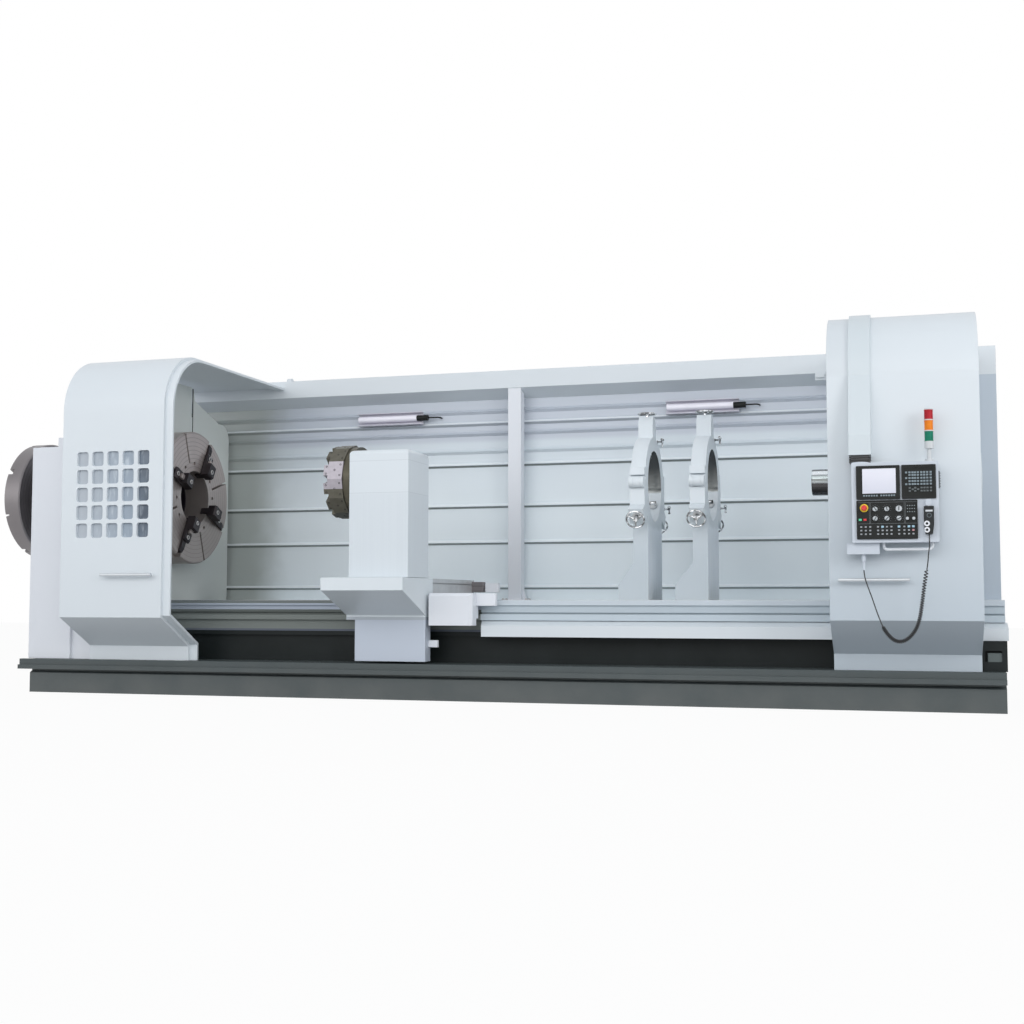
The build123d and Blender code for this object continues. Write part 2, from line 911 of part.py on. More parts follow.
# Control arm: a flat cable duct over the hood's front that ends in a ribbed swivel neck
swivel_top = swivel_bottom + swivel_height
with BuildPart() as control_arm:
    with BuildSketch(Plane.YZ.offset(right_hood_x + duct_offset)):
        with BuildLine():
            Polyline(
                (hood_face_front, hood_arc_start),
                (hood_face_front, swivel_top),
                (hood_face_front - duct_depth, swivel_top),
                (hood_face_front - duct_depth, swivel_top + duct_depth),
                (hood_face_front - duct_thickness, hood_arc_start),
            )
            CenterArc((hood_arc_centre_y, hood_arc_start), hood_arc_radius + duct_thickness, 90, 90)
            CenterArc((hood_arc_centre_y, hood_arc_start), hood_arc_radius, 90, 90)
            Line(
                (hood_arc_centre_y, hood_roof_z),
                (hood_arc_centre_y, hood_roof_z + duct_thickness),
            )
        make_face()
    extrude(amount=duct_width)
    with BuildSketch(Plane.XY.offset(swivel_bottom)):
        with Locations((swivel_x, hood_face_front - duct_depth / 2)):
            Rectangle(swivel_width * 0.8, swivel_depth * 0.8)
    extrude(amount=swivel_height)
    for rib in range(swivel_ribs):
        rib_height = swivel_height / (2 * swivel_ribs)
        with BuildSketch(Plane.XY.offset(swivel_bottom + 2 * rib * rib_height)):
            with Locations((swivel_x, hood_face_front - duct_depth / 2)):
                RectangleRounded(swivel_width, swivel_depth, 15)
        extrude(amount=rib_height)
finish_part(control_arm, "control_arm")

# Control box with its turntable on top, the junction box under it and the hook for the pendant
with BuildPart() as control_box:
    with BuildSketch(front_plane(box_back)):
        with Locations(((box_left_x + box_right_x) / 2, (box_top + box_bottom) / 2)):
            RectangleRounded(box_width, box_height, box_corner)
    extrude(amount=box_depth)
    with BuildSketch(Plane.XY.offset(box_top)):
        with Locations((swivel_x, swivel_y)):
            Circle(turntable_radius)
    extrude(amount=turntable_height - shaft_gap)
    with BuildSketch(front_plane(swivel_y + junction_depth / 2)):
        with Locations(
            (box_left_x - junction_offset + junction_width / 2, box_bottom - junction_height / 2)
        ):
            RectangleRounded(junction_width, junction_height, 6)
    extrude(amount=junction_depth)
    gland_x = box_left_x + gland_offset
    gland_bottom = box_bottom - junction_height - gland_height
    with BuildSketch(Plane.XY.offset(box_bottom - junction_height)):
        with Locations((gland_x, swivel_y)):
            RegularPolygon(gland_radius, 6)
    extrude(amount=-gland_height)
    relief_bottom = gland_bottom - relief_height
    with BuildSketch(Plane.XY.offset(gland_bottom)):
        with Locations((gland_x, swivel_y)):
            Circle(relief_radius)
    extrude(amount=-relief_height, taper=2)
    hook_x = box_left_x + pendant_offset
    pendant_top = pendant_bottom + pendant_height
    with BuildSketch(front_plane(box_front)):
        with Locations((hook_x, pendant_top + hook_height / 2 + 4)):
            RectangleRounded(hook_width, hook_height, 8)
    extrude(amount=pendant_depth / 2)
finish_part(control_box, "control_box")

# Panel units: the screen and keyboard bezels, and the operator panel with the emergency stop's well
screen_left = box_left_x + screen_inset_x
screen_top = box_top - screen_inset_z
keyboard_left = screen_left + screen_width + unit_gap
operator_top = box_top - operator_drop
operator_left = screen_left
stop_centre = (operator_left + stop_x, operator_top - stop_z)
with BuildPart() as panel_units:
    with BuildSketch(front_plane(box_front)):
        with Locations((screen_left + screen_width / 2, screen_top - screen_height / 2)):
            RectangleRounded(screen_width, screen_height, 6)
        with Locations((keyboard_left + keyboard_width / 2, screen_top - screen_height / 2)):
            RectangleRounded(keyboard_width, screen_height, 6)
    extrude(amount=bezel_depth)
    with BuildSketch(front_plane(panel_face)):
        with Locations((screen_left + screen_width / 2, screen_top - glass_offset_z - glass_height / 2)):
            Rectangle(glass_width, glass_height)
        with Locations((keyboard_left + keyboard_width / 2, screen_top - screen_height / 2)):
            Rectangle(keyboard_width - 2 * glass_offset_z, screen_height - 2 * glass_offset_z)
    extrude(amount=-glass_recess, mode=Mode.SUBTRACT)
    with BuildSketch(front_plane(box_front)):
        with Locations((operator_left + operator_width / 2, operator_top - operator_height / 2)):
            RectangleRounded(operator_width, operator_height, 6)
    extrude(amount=bezel_depth)
    with BuildSketch(front_plane(panel_face)):
        with Locations((operator_left + operator_width / 2, operator_top - operator_height / 2)):
            Rectangle(operator_width - 16, operator_height - 16)
    extrude(amount=-operator_recess, mode=Mode.SUBTRACT)
    with BuildSketch(front_plane(panel_face + operator_recess)):
        with Locations(stop_centre):
            Circle(stop_ring_radius)
    extrude(amount=operator_recess)
    with BuildSketch(front_plane(panel_face)):
        with Locations(stop_centre):
            Circle(stop_stem_radius + jaw_gap)
    extrude(amount=-bezel_depth, mode=Mode.SUBTRACT)
finish_part(panel_units, "panel_units")

# Emergency stop: a mushroom head on a stem that pushes into the panel
with BuildPart() as emergency_stop:
    with BuildSketch(front_plane(panel_face + bezel_depth - stop_travel - 1)):
        with Locations(stop_centre):
            Circle(stop_stem_radius)
    extrude(amount=bezel_depth + 1)
    with BuildSketch(front_plane(panel_face - stop_travel - 1)):
        with Locations(stop_centre):
            Circle(stop_radius)
    extrude(amount=stop_height - stop_travel, taper=8)
finish_part(emergency_stop, "emergency_stop")

# Selector knobs: six large ones in two rows and two small ones
knob_base = panel_face + operator_recess
with BuildPart() as selector_knobs:
    for column, x in enumerate(knob_x):
        for row, z in enumerate(knob_z):
            is_override = column == len(knob_x) - 1 and row == 0
            with BuildSketch(front_plane(knob_base)):
                with Locations((operator_left + x, operator_top - z)):
                    Circle(big_knob_radius if is_override else knob_radius)
            extrude(amount=knob_height, taper=6)
    for x in small_knob_x:
        with BuildSketch(front_plane(knob_base)):
            with Locations((operator_left + x, operator_top - small_knob_z)):
                Circle(small_knob_radius)
        extrude(amount=knob_height)
finish_part(selector_knobs, "selector_knobs")

# Signal tower: three lamps between thin rings, on a thin neck and a foot
tower_x = box_left_x + tower_offset
with BuildPart() as signal_tower:
    with BuildSketch(Plane(origin=(tower_x, swivel_y, 0), x_dir=(1, 0, 0), z_dir=(0, -1, 0))):
        neck_bottom = box_top + tower_foot_height
        neck_top = neck_bottom + tower_neck_height
        base_end = neck_top + tower_base_height
        outline = [(0, box_top), (tower_foot_radius, box_top), (tower_foot_radius, neck_bottom)]
        outline += [(tower_neck_radius, neck_bottom), (tower_neck_radius, neck_top)]
        outline += [(tower_radius, neck_top), (tower_radius, base_end)]
        lamp_bottom = base_end
        for lamp in range(3):
            lamp_top = lamp_bottom + tower_lamp_height
            outline += [(tower_radius - 2, lamp_bottom), (tower_radius - 2, lamp_top)]
            outline += [(tower_radius, lamp_top), (tower_radius, lamp_top + tower_ring_height)]
            lamp_bottom = lamp_top + tower_ring_height
        outline.append((0, lamp_bottom))
        with BuildLine():
            Polyline(*outline, close=True)
        make_face()
    revolve(axis=Axis((tower_x, swivel_y, 0), (0, 0, 1)))
finish_part(signal_tower, "signal_tower")

# Tubular handle under the control box
with BuildPart() as panel_handle:
    arm_left = box_left_x + arm_start
    arm_z = box_bottom - arm_drop
    with BuildLine() as arm_route:
        FilletPolyline(
            (arm_left, swivel_y, box_bottom),
            (arm_left, swivel_y, arm_z),
            (arm_left + arm_length, swivel_y, arm_z),
            (arm_left + arm_length, swivel_y, box_bottom),
            radius=2.2 * arm_tube_radius,
        )
    with BuildSketch(Plane(origin=(arm_left, swivel_y, box_bottom), z_dir=(0, 0, -1))):
        Circle(arm_tube_radius)
    sweep(path=arm_route.line)
finish_part(panel_handle, "panel_handle")

# Hand-wheel pendant hung on its hook, narrower at its lower end
pendant_back = box_front - 3
with BuildPart() as pendant:
    with BuildSketch(front_plane(pendant_back)):
        with BuildLine():
            Polyline(
                (hook_x - pendant_width * 0.36, pendant_bottom),
                (hook_x - pendant_width / 2, pendant_bottom + pendant_height * 0.35),
                (hook_x - pendant_width / 2, pendant_top),
                (hook_x + pendant_width / 2, pendant_top),
                (hook_x + pendant_width / 2, pendant_bottom + pendant_height * 0.35),
                (hook_x + pendant_width * 0.36, pendant_bottom),
                close=True,
            )
        make_face()
    extrude(amount=pendant_depth)
    with BuildSketch(front_plane(box_front)):
        with Locations((hook_x, pendant_top - pendant_width / 2)):
            Circle(pendant_width / 4)
    extrude(amount=box_front - pendant_back)
finish_part(pendant, "pendant")

# Cord: a thin lead from the junction box, a curly stretch, and a plain end into the pendant
cord_y = pendant_back - pendant_depth / 2
lead_points = [
    (gland_x, swivel_y, relief_bottom),
    (gland_x + 4, swivel_y - 6, relief_bottom - 48),
    (gland_x + 20, swivel_y - 22, relief_bottom - 100),
    (gland_x + 40, swivel_y - 38, relief_bottom - 156),
    (gland_x + 60, swivel_y - 56, relief_bottom - 214),
    (gland_x + 78, swivel_y - 74, relief_bottom - 272),
    (gland_x + 98, cord_y, relief_bottom - 328),
    (gland_x + 118, cord_y, relief_bottom - 384),
]
coil_points = [
    lead_points[-1],
    (gland_x + 151, cord_y, relief_bottom - 440),
    (gland_x + 198, cord_y, relief_bottom - 488),
    (gland_x + 258, cord_y, relief_bottom - 492),
    (gland_x + 308, cord_y, relief_bottom - 452),
    (gland_x + 344, cord_y, relief_bottom - 400),
    (gland_x + 364, cord_y, relief_bottom - 340),
    (gland_x + 376, cord_y, relief_bottom - 274),
    (gland_x + 386, cord_y, relief_bottom - 206),
    (gland_x + 395, cord_y, relief_bottom - 136),
    (gland_x + 406, cord_y, relief_bottom - 66),
    (gland_x + 418, cord_y, relief_bottom),
]
tail_points = [
    coil_points[-1],
    (gland_x + 426, cord_y, relief_bottom + 52),
    (gland_x + 430, cord_y, relief_bottom + 104),
    (hook_x, cord_y, relief_bottom + 154),
    (hook_x, cord_y - 2, relief_bottom + 200),
    (hook_x, cord_y, pendant_bottom),
]


def bend_radii(points):
    """The largest arc that each corner's two runs allow."""
    radii = []
    for before, here, after in zip(points, points[1:], points[2:]):
        run_in = Vector(*here) - Vector(*before)
        run_out = Vector(*after) - Vector(*here)
        turn = math.radians(run_in.get_angle(run_out))
        radii.append(0.45 * min(run_in.length, run_out.length) / math.tan(turn / 2))
    return radii


def cord_tube(points, radius):
    """Sweeps a round section along straight runs joined by tangent arcs, in the current part."""
    radii = bend_radii(points)
    print("bend radii", [round(value) for value in radii])
    with BuildLine() as route:
        FilletPolyline(*points, radius=radii)
    start = Vector(*points[0])
    direction = Vector(*points[1]) - start
    with BuildSketch(Plane(origin=points[0], z_dir=tuple(direction))) as section:
        Circle(radius)
    sweep(section.sketch, path=route.line)
    length = route.wire().length
    print("cord length", round(length), "section times length", round(length * math.pi * radius**2))


with BuildPart() as cord_lead:
    cord_tube(lead_points, lead_radius)
    cord_tube(tail_points, lead_radius)
finish_part(cord_lead, "cord_lead")
print("lead volume", cord_lead.part.volume)

with BuildPart() as cord_coil:
    cord_tube(coil_points, coil_radius)
finish_part(cord_coil, "cord_coil")
print("coil volume", cord_coil.part.volume)

# Saddle: the carriage's casting on the outer ways, with a groove along its right side and a low wing
# that wipes the front way
saddle_right = saddle_left_x + saddle_length
saddle_bottom = ways_z + slide_gap
with BuildPart() as saddle:
    with BuildSketch(front_plane(saddle_back)):
        with BuildLine():
            Polyline(
                (saddle_left_x, saddle_bottom),
                (saddle_left_x, saddle_top - 60),
                (saddle_left_x + 40, saddle_top),
                (saddle_right, saddle_top),
                (saddle_right, saddle_bottom),
                close=True,
            )
        make_face()
        with Locations((saddle_right - saddle_groove_depth / 2, saddle_top - saddle_groove_drop)):
            Rectangle(saddle_groove_depth, saddle_groove_width, mode=Mode.SUBTRACT)
    extrude(amount=saddle_back - saddle_front)
    with BuildSketch(Plane.XY.offset(saddle_bottom)):
        with Locations((saddle_right, saddle_front)):
            Rectangle(saddle_wing_length, saddle_wing_depth, align=(Align.MIN, Align.MIN))
    extrude(amount=saddle_wing_height)
finish_part(saddle, "saddle")

# Chip tray: the wedge-shaped platform on the operator's side of the saddle
with BuildPart() as chip_tray:
    with BuildSketch(Plane.YZ.offset(tray_left_x)):
        with BuildLine():
            Polyline(
                (saddle_front, saddle_top),
                (tray_front, saddle_top),
                (tray_front, saddle_top - tray_band_height),
                (tray_foot_front, tray_bottom + tray_lip),
                (tray_foot_front, tray_bottom),
                (tray_foot_back, tray_bottom),
                (tray_foot_back, saddle_bottom),
                (saddle_front, saddle_bottom),
                close=True,
            )
        make_face()
    extrude(amount=tray_length)
finish_part(chip_tray, "chip_tray")

# Apron shield: the plate box that hangs from the tray in front of the bed
apron_right = tray_left_x + tray_length
with BuildPart() as apron_shield:
    with BuildSketch(front_plane(tray_foot_back)):
        with BuildLine():
            Polyline(
                (apron_right - apron_length, apron_bottom),
                (apron_right - apron_length, tray_bottom),
                (apron_right, tray_bottom),
                (apron_right, apron_bottom),
                close=True,
            )
        make_face()
    extrude(amount=tray_foot_back - tray_foot_front)
finish_part(apron_shield, "apron_shield")

# Drive cover: the chamfered box over the feed gearbox at the saddle's right
with BuildPart() as drive_cover:
    with BuildSketch(Plane.YZ.offset(drive_left_x)):
        with BuildLine():
            drive_top = drive_bottom + drive_height
            Polyline(
                (drive_back_low, drive_bottom),
                (tray_foot_front, drive_bottom),
                (tray_foot_front, drive_top - drive_chamfer),
                (tray_foot_front + drive_chamfer, drive_top),
                (drive_back_high, drive_top),
                (drive_back_high, drive_step),
                (drive_back_low, drive_step),
                close=True,
            )
        make_face()
    extrude(amount=drive_length)
    corner = drive_cover.edges().filter_by(Axis.Z).group_by(Axis.X)[-1].sort_by(Axis.Y)[0]
    chamfer(corner, length=drive_chamfer)
    with BuildSketch(Plane.YZ.offset(apron_right)):
        with BuildLine():
            Polyline(
                (saddle_front, saddle_bottom),
                (saddle_front, drive_top),
                (drive_back_high, drive_top),
                (drive_back_high, saddle_bottom),
                close=True,
            )
        make_face()
    extrude(amount=drive_left_x + drive_length - apron_right - drive_chamfer)
finish_part(drive_cover, "drive_cover")

# Cross slide: the plate that carries the turret towards the spindle axis
with BuildPart() as cross_slide:
    with BuildSketch(Plane.XY.offset(cross_bottom)):
        with Locations((cross_left_x + cross_length / 2, (tower_back + cross_back) / 2)):
            Rectangle(cross_length, cross_back - tower_back)
    extrude(amount=cross_thickness)
    back_edge = cross_slide.edges().filter_by(Axis.X).group_by(Axis.Y)[-1].sort_by(Axis.Z)[-1]
    chamfer(back_edge, length=25)
finish_part(cross_slide, "cross_slide")

# Turret tower: the tall sheet cover on the operator's side, rounded along its top
with BuildPart() as turret_tower:
    with BuildSketch(Plane.XY.offset(saddle_top + tower_bottom_gap)):
        with Locations((tower_left_x + tower_length / 2, (tower_front + tower_back) / 2)):
            Rectangle(tower_length, tower_back - tower_front)
    extrude(amount=turret_cover_top - saddle_top - tower_bottom_gap)
    top_edges = turret_tower.edges().group_by(Axis.Z)[-1]
    fillet(top_edges, radius=turret_cover_round)
finish_part(turret_tower, "turret_tower")

# Turret head: the indexing gearbox behind the tower, with the round ring that carries the disc
turret_face = Plane(origin=(head_left_x, turret_y, turret_z), x_dir=(0, 1, 0), z_dir=(1, 0, 0))
with BuildPart() as turret_head:
    with BuildSketch(Plane.YZ.offset(head_left_x)):
        with Locations(((tower_back + head_back) / 2, (cross_top + head_top) / 2)):
            Rectangle(head_back - tower_back, head_top - cross_top)
    extrude(amount=head_length)
    fillet(turret_head.edges().filter_by(Axis.X).group_by(Axis.Z)[-1], radius=head_round)
    with BuildSketch(turret_face):
        Circle(turret_ring_radius * 0.7)
    extrude(amount=turret_right_x + slide_gap - head_left_x)
    with BuildSketch(turret_face.offset(turret_right_x + slide_gap - head_left_x)):
        Circle(turret_ring_radius)
    extrude(amount=turret_ring_length)
finish_part(turret_head, "turret_head")

# Turret disc: twelve flats, each with a tool block that stands out to the left, and a hub in the middle
turret_back = Plane(origin=(turret_right_x, turret_y, turret_z), x_dir=(0, 1, 0), z_dir=(-1, 0, 0))
flat_distance = turret_radius * math.cos(math.pi / turret_sides)
with BuildPart() as turret_disc:
    with BuildSketch(turret_back):
        RegularPolygon(turret_radius, turret_sides)
    extrude(amount=turret_thickness)
    with BuildSketch(turret_back.offset(turret_thickness)):
        Circle(turret_hub_radius)
    extrude(amount=turret_hub_length)
    for side in range(turret_sides):
        angle = (side + 0.5) * 360 / turret_sides
        block_plane = radial_plane(
            turret_right_x - turret_thickness - turret_block_length / 2,
            angle,
            turret_y,
            turret_z,
            flat_distance - turret_block_depth,
        )
        with BuildSketch(block_plane):
            Rectangle(turret_block_length, turret_block_width)
        extrude(amount=turret_block_depth)
finish_part(turret_disc, "turret_disc")


def steady_quill(name, mid_x, angle):
    """A hollow quill that slides in its boss, with a chamfered tip and a bore for the screw."""
    with BuildPart() as quill:
        with BuildSketch(radial_plane(mid_x, angle, radius=quill_inner)):
            Circle(quill_radius)
        extrude(amount=quill_outer(angle) - quill_inner)
        axis_point = Vector(mid_x, 0, spindle_z)
        ends = quill.faces().filter_by(GeomType.PLANE)
        tip = min(ends, key=lambda face: (face.center() - axis_point).length)
        chamfer(tip.edges(), length=12)
        with BuildSketch(radial_plane(mid_x, angle, radius=screw_inner - screw_room)):
            Circle(screw_radius + jaw_gap)
        extrude(amount=quill_outer(angle) - screw_inner + screw_room, mode=Mode.SUBTRACT)
    finish_part(quill, name)


def steady_wheel(name, mid_x, angle):
    """A three-spoke handwheel on the screw that drives its quill."""
    with BuildPart() as wheel:
        with BuildSketch(radial_plane(mid_x, angle, radius=wheel_centre - wheel_rim / 2)):
            Circle(wheel_radius)
            Circle(wheel_radius - wheel_rim, mode=Mode.SUBTRACT)
            Circle(wheel_hub_radius)
            with PolarLocations((wheel_radius - wheel_rim + wheel_hub_radius) / 2, wheel_spokes):
                Rectangle(wheel_radius - wheel_hub_radius, wheel_spoke_width)
        extrude(amount=wheel_rim)
        with BuildSketch(radial_plane(mid_x, angle, radius=screw_inner)):
            Circle(screw_radius)
        extrude(amount=wheel_centre - screw_inner)
    finish_part(wheel, name)


def quill_outer(angle):
    """Distance from the spindle axis to a quill's outer end, flush with its boss."""
    if angle == quill_angles[0]:
        return steady_ring_radius + top_boss_height + top_taper_height
    return boss_outer


def steady_rest(number, left_x, foot_left):
    """A steady rest: a column with the lower half ring, a hinged cap and three quills."""
    right_x = left_x + steady_thickness
    mid_x = left_x + steady_thickness / 2
    hinge_y = -(steady_ring_radius + hinge_offset)
    ear_gap = hinge_ear + jaw_gap
    foot_bottom = ways_z + slide_gap
    with BuildPart() as frame:
        with BuildSketch(axis_plane(left_x)):
            Circle(steady_ring_radius)
            with Locations((0, (foot_bottom - spindle_z) / 2)):
                Rectangle(steady_column_width, spindle_z - foot_bottom)
            for angle in quill_angles[1:]:
                turn = math.radians(angle)
                middle = (steady_bore_radius + boss_outer) / 2
                with Locations(Location((middle * math.cos(turn), middle * math.sin(turn)), angle)):
                    Rectangle(boss_outer - steady_bore_radius, boss_width)
            with Locations((0, -steady_lug_height / 2)):
                Rectangle(2 * (steady_ring_radius + steady_lug_reach), steady_lug_height)
            with Locations((0, steady_ring_radius)):
                Rectangle(4 * steady_ring_radius, 2 * steady_ring_radius, mode=Mode.SUBTRACT)
            Circle(steady_bore_radius, mode=Mode.SUBTRACT)
        extrude(amount=steady_thickness)
        with BuildSketch(front_plane(steady_column_width / 2)):
            with BuildLine():
                Polyline(
                    (foot_left, foot_bottom),
                    (foot_left, foot_bottom + steady_foot_height),
                    (left_x, foot_bottom + steady_flare_height),
                    (left_x, foot_bottom),
                    close=True,
                )
            make_face()
        extrude(amount=steady_column_width)
        with BuildSketch(axis_plane(mid_x - ear_gap)):
            with Locations((hinge_y, 0)):
                Rectangle(2 * hinge_radius + 2, 2 * hinge_radius + 2)
        extrude(amount=2 * ear_gap, mode=Mode.SUBTRACT)
        for ear_x in (mid_x - hinge_ear * 2, mid_x + ear_gap):
            with BuildSketch(axis_plane(ear_x)):
                with Locations((hinge_y, 0)):
                    Circle(hinge_radius)
                with Locations((hinge_y + hinge_radius, -hinge_radius / 2 - slide_gap)):
                    Rectangle(2 * hinge_radius, hinge_radius)
            extrude(amount=hinge_ear - jaw_gap)
        with BuildSketch(axis_plane(mid_x - 2 * hinge_ear)):
            with Locations((hinge_y, 0)):
                Circle(hinge_pin_radius)
        extrude(amount=4 * hinge_ear)
        for angle in quill_angles[1:]:
            with BuildSketch(radial_plane(mid_x, angle)):
                Circle(quill_radius + shaft_gap)
            extrude(amount=boss_outer, mode=Mode.SUBTRACT)
    finish_part(frame, f"steady_{number}_frame")

    top_boss_top = steady_ring_radius + top_boss_height
    with BuildPart() as cap:
        with BuildSketch(axis_plane(left_x)):
            Circle(steady_ring_radius)
            with Locations((0, top_boss_top / 2)):
                Rectangle(top_boss_width, top_boss_top)
            with BuildLine():
                Polyline(
                    (-top_boss_width / 2, top_boss_top),
                    (-top_taper_width / 2, top_boss_top + top_taper_height),
                    (top_taper_width / 2, top_boss_top + top_taper_height),
                    (top_boss_width / 2, top_boss_top),
                    close=True,
                )
            make_face()
            with Locations((steady_ring_radius, cap_lug_height / 2)):
                Rectangle(2 * steady_lug_reach, cap_lug_height)
            with Locations((-steady_ring_radius, cap_lug_height * 0.75)):
                Rectangle(2 * steady_lug_reach, cap_lug_height / 2)
            with Locations((0, -steady_ring_radius + slide_gap)):
                Rectangle(4 * steady_ring_radius, 2 * steady_ring_radius, mode=Mode.SUBTRACT)
            Circle(steady_bore_radius, mode=Mode.SUBTRACT)
        extrude(amount=steady_thickness)
        with BuildSketch(axis_plane(mid_x - hinge_ear)):
            with Locations((hinge_y, 0)):
                Circle(hinge_radius)
            with Locations((hinge_y + hinge_radius * 0.8, hinge_radius / 2 + slide_gap)):
                Rectangle(hinge_radius * 1.6, hinge_radius)
            with Locations((hinge_y, 0)):
                Circle(hinge_pin_radius + jaw_gap, mode=Mode.SUBTRACT)
        extrude(amount=2 * hinge_ear)
        with BuildSketch(radial_plane(mid_x, quill_angles[0])):
            Circle(quill_radius + shaft_gap)
        extrude(amount=top_boss_top + top_taper_height, mode=Mode.SUBTRACT)
    finish_part(cap, f"steady_{number}_cap")

    for place, angle in enumerate(quill_angles, 1):
        steady_quill(f"steady_{number}_quill_{place}", mid_x, angle)
        steady_wheel(f"steady_{number}_wheel_{place}", mid_x, angle)


for number, (left_x, foot_left) in enumerate(zip(steady_left_edges, steady_foot_lefts), 1):
    steady_rest(number, left_x, foot_left)

# Tailstock: a waisted casting on the inner ways with a round barrel for the quill
with BuildPart() as tailstock_body:
    with BuildSketch(Plane.YZ.offset(tailstock_left_x)):
        with BuildLine():
            foot_bottom = ways_z + slide_gap
            Polyline(
                (-tailstock_half_width, foot_bottom),
                (-tailstock_half_width, foot_bottom + tailstock_sole),
                (-tailstock_waist, foot_bottom + 2 * tailstock_sole),
                (-tailstock_barrel_radius, spindle_z),
                (tailstock_barrel_radius, spindle_z),
                (tailstock_waist, foot_bottom + 2 * tailstock_sole),
                (tailstock_half_width, foot_bottom + tailstock_sole),
                (tailstock_half_width, foot_bottom),
                close=True,
            )
        make_face()
        with Locations((0, spindle_z)):
            Circle(tailstock_barrel_radius)
    extrude(amount=tailstock_length)
    with BuildSketch(axis_plane(tailstock_left_x + tailstock_length)):
        Circle(tailstock_rear_radius)
    extrude(amount=tailstock_rear_length)
    with BuildSketch(axis_plane(tailstock_left_x)):
        Circle(tail_quill_radius + shaft_gap)
    extrude(amount=tail_quill_length - tail_quill_out + tail_quill_room, mode=Mode.SUBTRACT)
finish_part(tailstock_body, "tailstock_body")

# Tailstock quill with the socket for a centre
with BuildPart() as tailstock_quill:
    with BuildSketch(axis_plane(tailstock_left_x - tail_quill_out)):
        Circle(tail_quill_radius)
    extrude(amount=tail_quill_length)
    chamfer(tailstock_quill.edges().group_by(Axis.X)[0], length=6)
    with BuildSketch(axis_plane(tailstock_left_x - tail_quill_out)):
        Circle(tail_socket_radius)
    extrude(amount=tail_socket_depth, mode=Mode.SUBTRACT)
finish_part(tailstock_quill, "tailstock_quill")
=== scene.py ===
"""The looks of a heavy CNC turning lathe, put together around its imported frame, in metres."""

import math

import bmesh
import bpy
from mathutils import Matrix, Vector


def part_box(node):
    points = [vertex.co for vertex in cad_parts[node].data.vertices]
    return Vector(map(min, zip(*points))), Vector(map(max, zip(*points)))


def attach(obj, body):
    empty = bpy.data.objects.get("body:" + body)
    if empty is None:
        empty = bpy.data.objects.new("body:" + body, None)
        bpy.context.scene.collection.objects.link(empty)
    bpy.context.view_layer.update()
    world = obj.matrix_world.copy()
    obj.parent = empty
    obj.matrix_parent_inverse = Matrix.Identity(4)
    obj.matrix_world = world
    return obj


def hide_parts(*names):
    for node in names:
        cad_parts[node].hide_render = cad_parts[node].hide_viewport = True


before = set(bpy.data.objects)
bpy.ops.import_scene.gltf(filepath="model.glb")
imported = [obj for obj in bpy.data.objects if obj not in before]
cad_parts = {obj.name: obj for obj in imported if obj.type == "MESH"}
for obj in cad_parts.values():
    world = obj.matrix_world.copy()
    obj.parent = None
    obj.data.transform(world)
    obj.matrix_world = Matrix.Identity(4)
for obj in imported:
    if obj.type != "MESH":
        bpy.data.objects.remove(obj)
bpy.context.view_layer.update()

# The studio: the machine stands on a pale sealed floor in front of a white sweep. The camera stands
# in front of the right hood at chest height and looks to the left along the bed.
camera_data = bpy.data.cameras.new("camera")
camera_data.sensor_width = 36
camera_data.lens = 46.93
camera = bpy.data.objects.new("camera", camera_data)
camera.location = (3.403, -10.87, 0.805)
camera.rotation_euler = (math.radians(93.77), 0, math.radians(16.6))
bpy.context.scene.collection.objects.link(camera)
bpy.context.scene.camera = camera
bpy.context.scene.view_settings.view_transform = "Standard"


class Signal:
    """A value inside a finish, so that a mask reads as plain arithmetic."""

    def __init__(self, tree, socket):
        self.tree = tree
        self.socket = socket

    def maths(self, operation, first, second):
        adder = self.tree.nodes.new("ShaderNodeMath")
        adder.operation = operation
        for place, value in zip(adder.inputs, (first, second)):
            if isinstance(value, Signal):
                self.tree.links.new(value.socket, place)
            else:
                place.default_value = value
        return Signal(self.tree, adder.outputs[0])

    def __add__(self, other):
        return self.maths("ADD", self, other)

    def __radd__(self, other):
        return self.maths("ADD", other, self)

    def __sub__(self, other):
        return self.maths("SUBTRACT", self, other)

    def __rsub__(self, other):
        return self.maths("SUBTRACT", other, self)

    def __mul__(self, other):
        return self.maths("MULTIPLY", self, other)

    def __rmul__(self, other):
        return self.maths("MULTIPLY", other, self)

    def __pow__(self, other):
        return self.maths("POWER", self, other)

    def __lt__(self, other):
        return self.maths("LESS_THAN", self, other)

    def __gt__(self, other):
        return self.maths("GREATER_THAN", self, other)


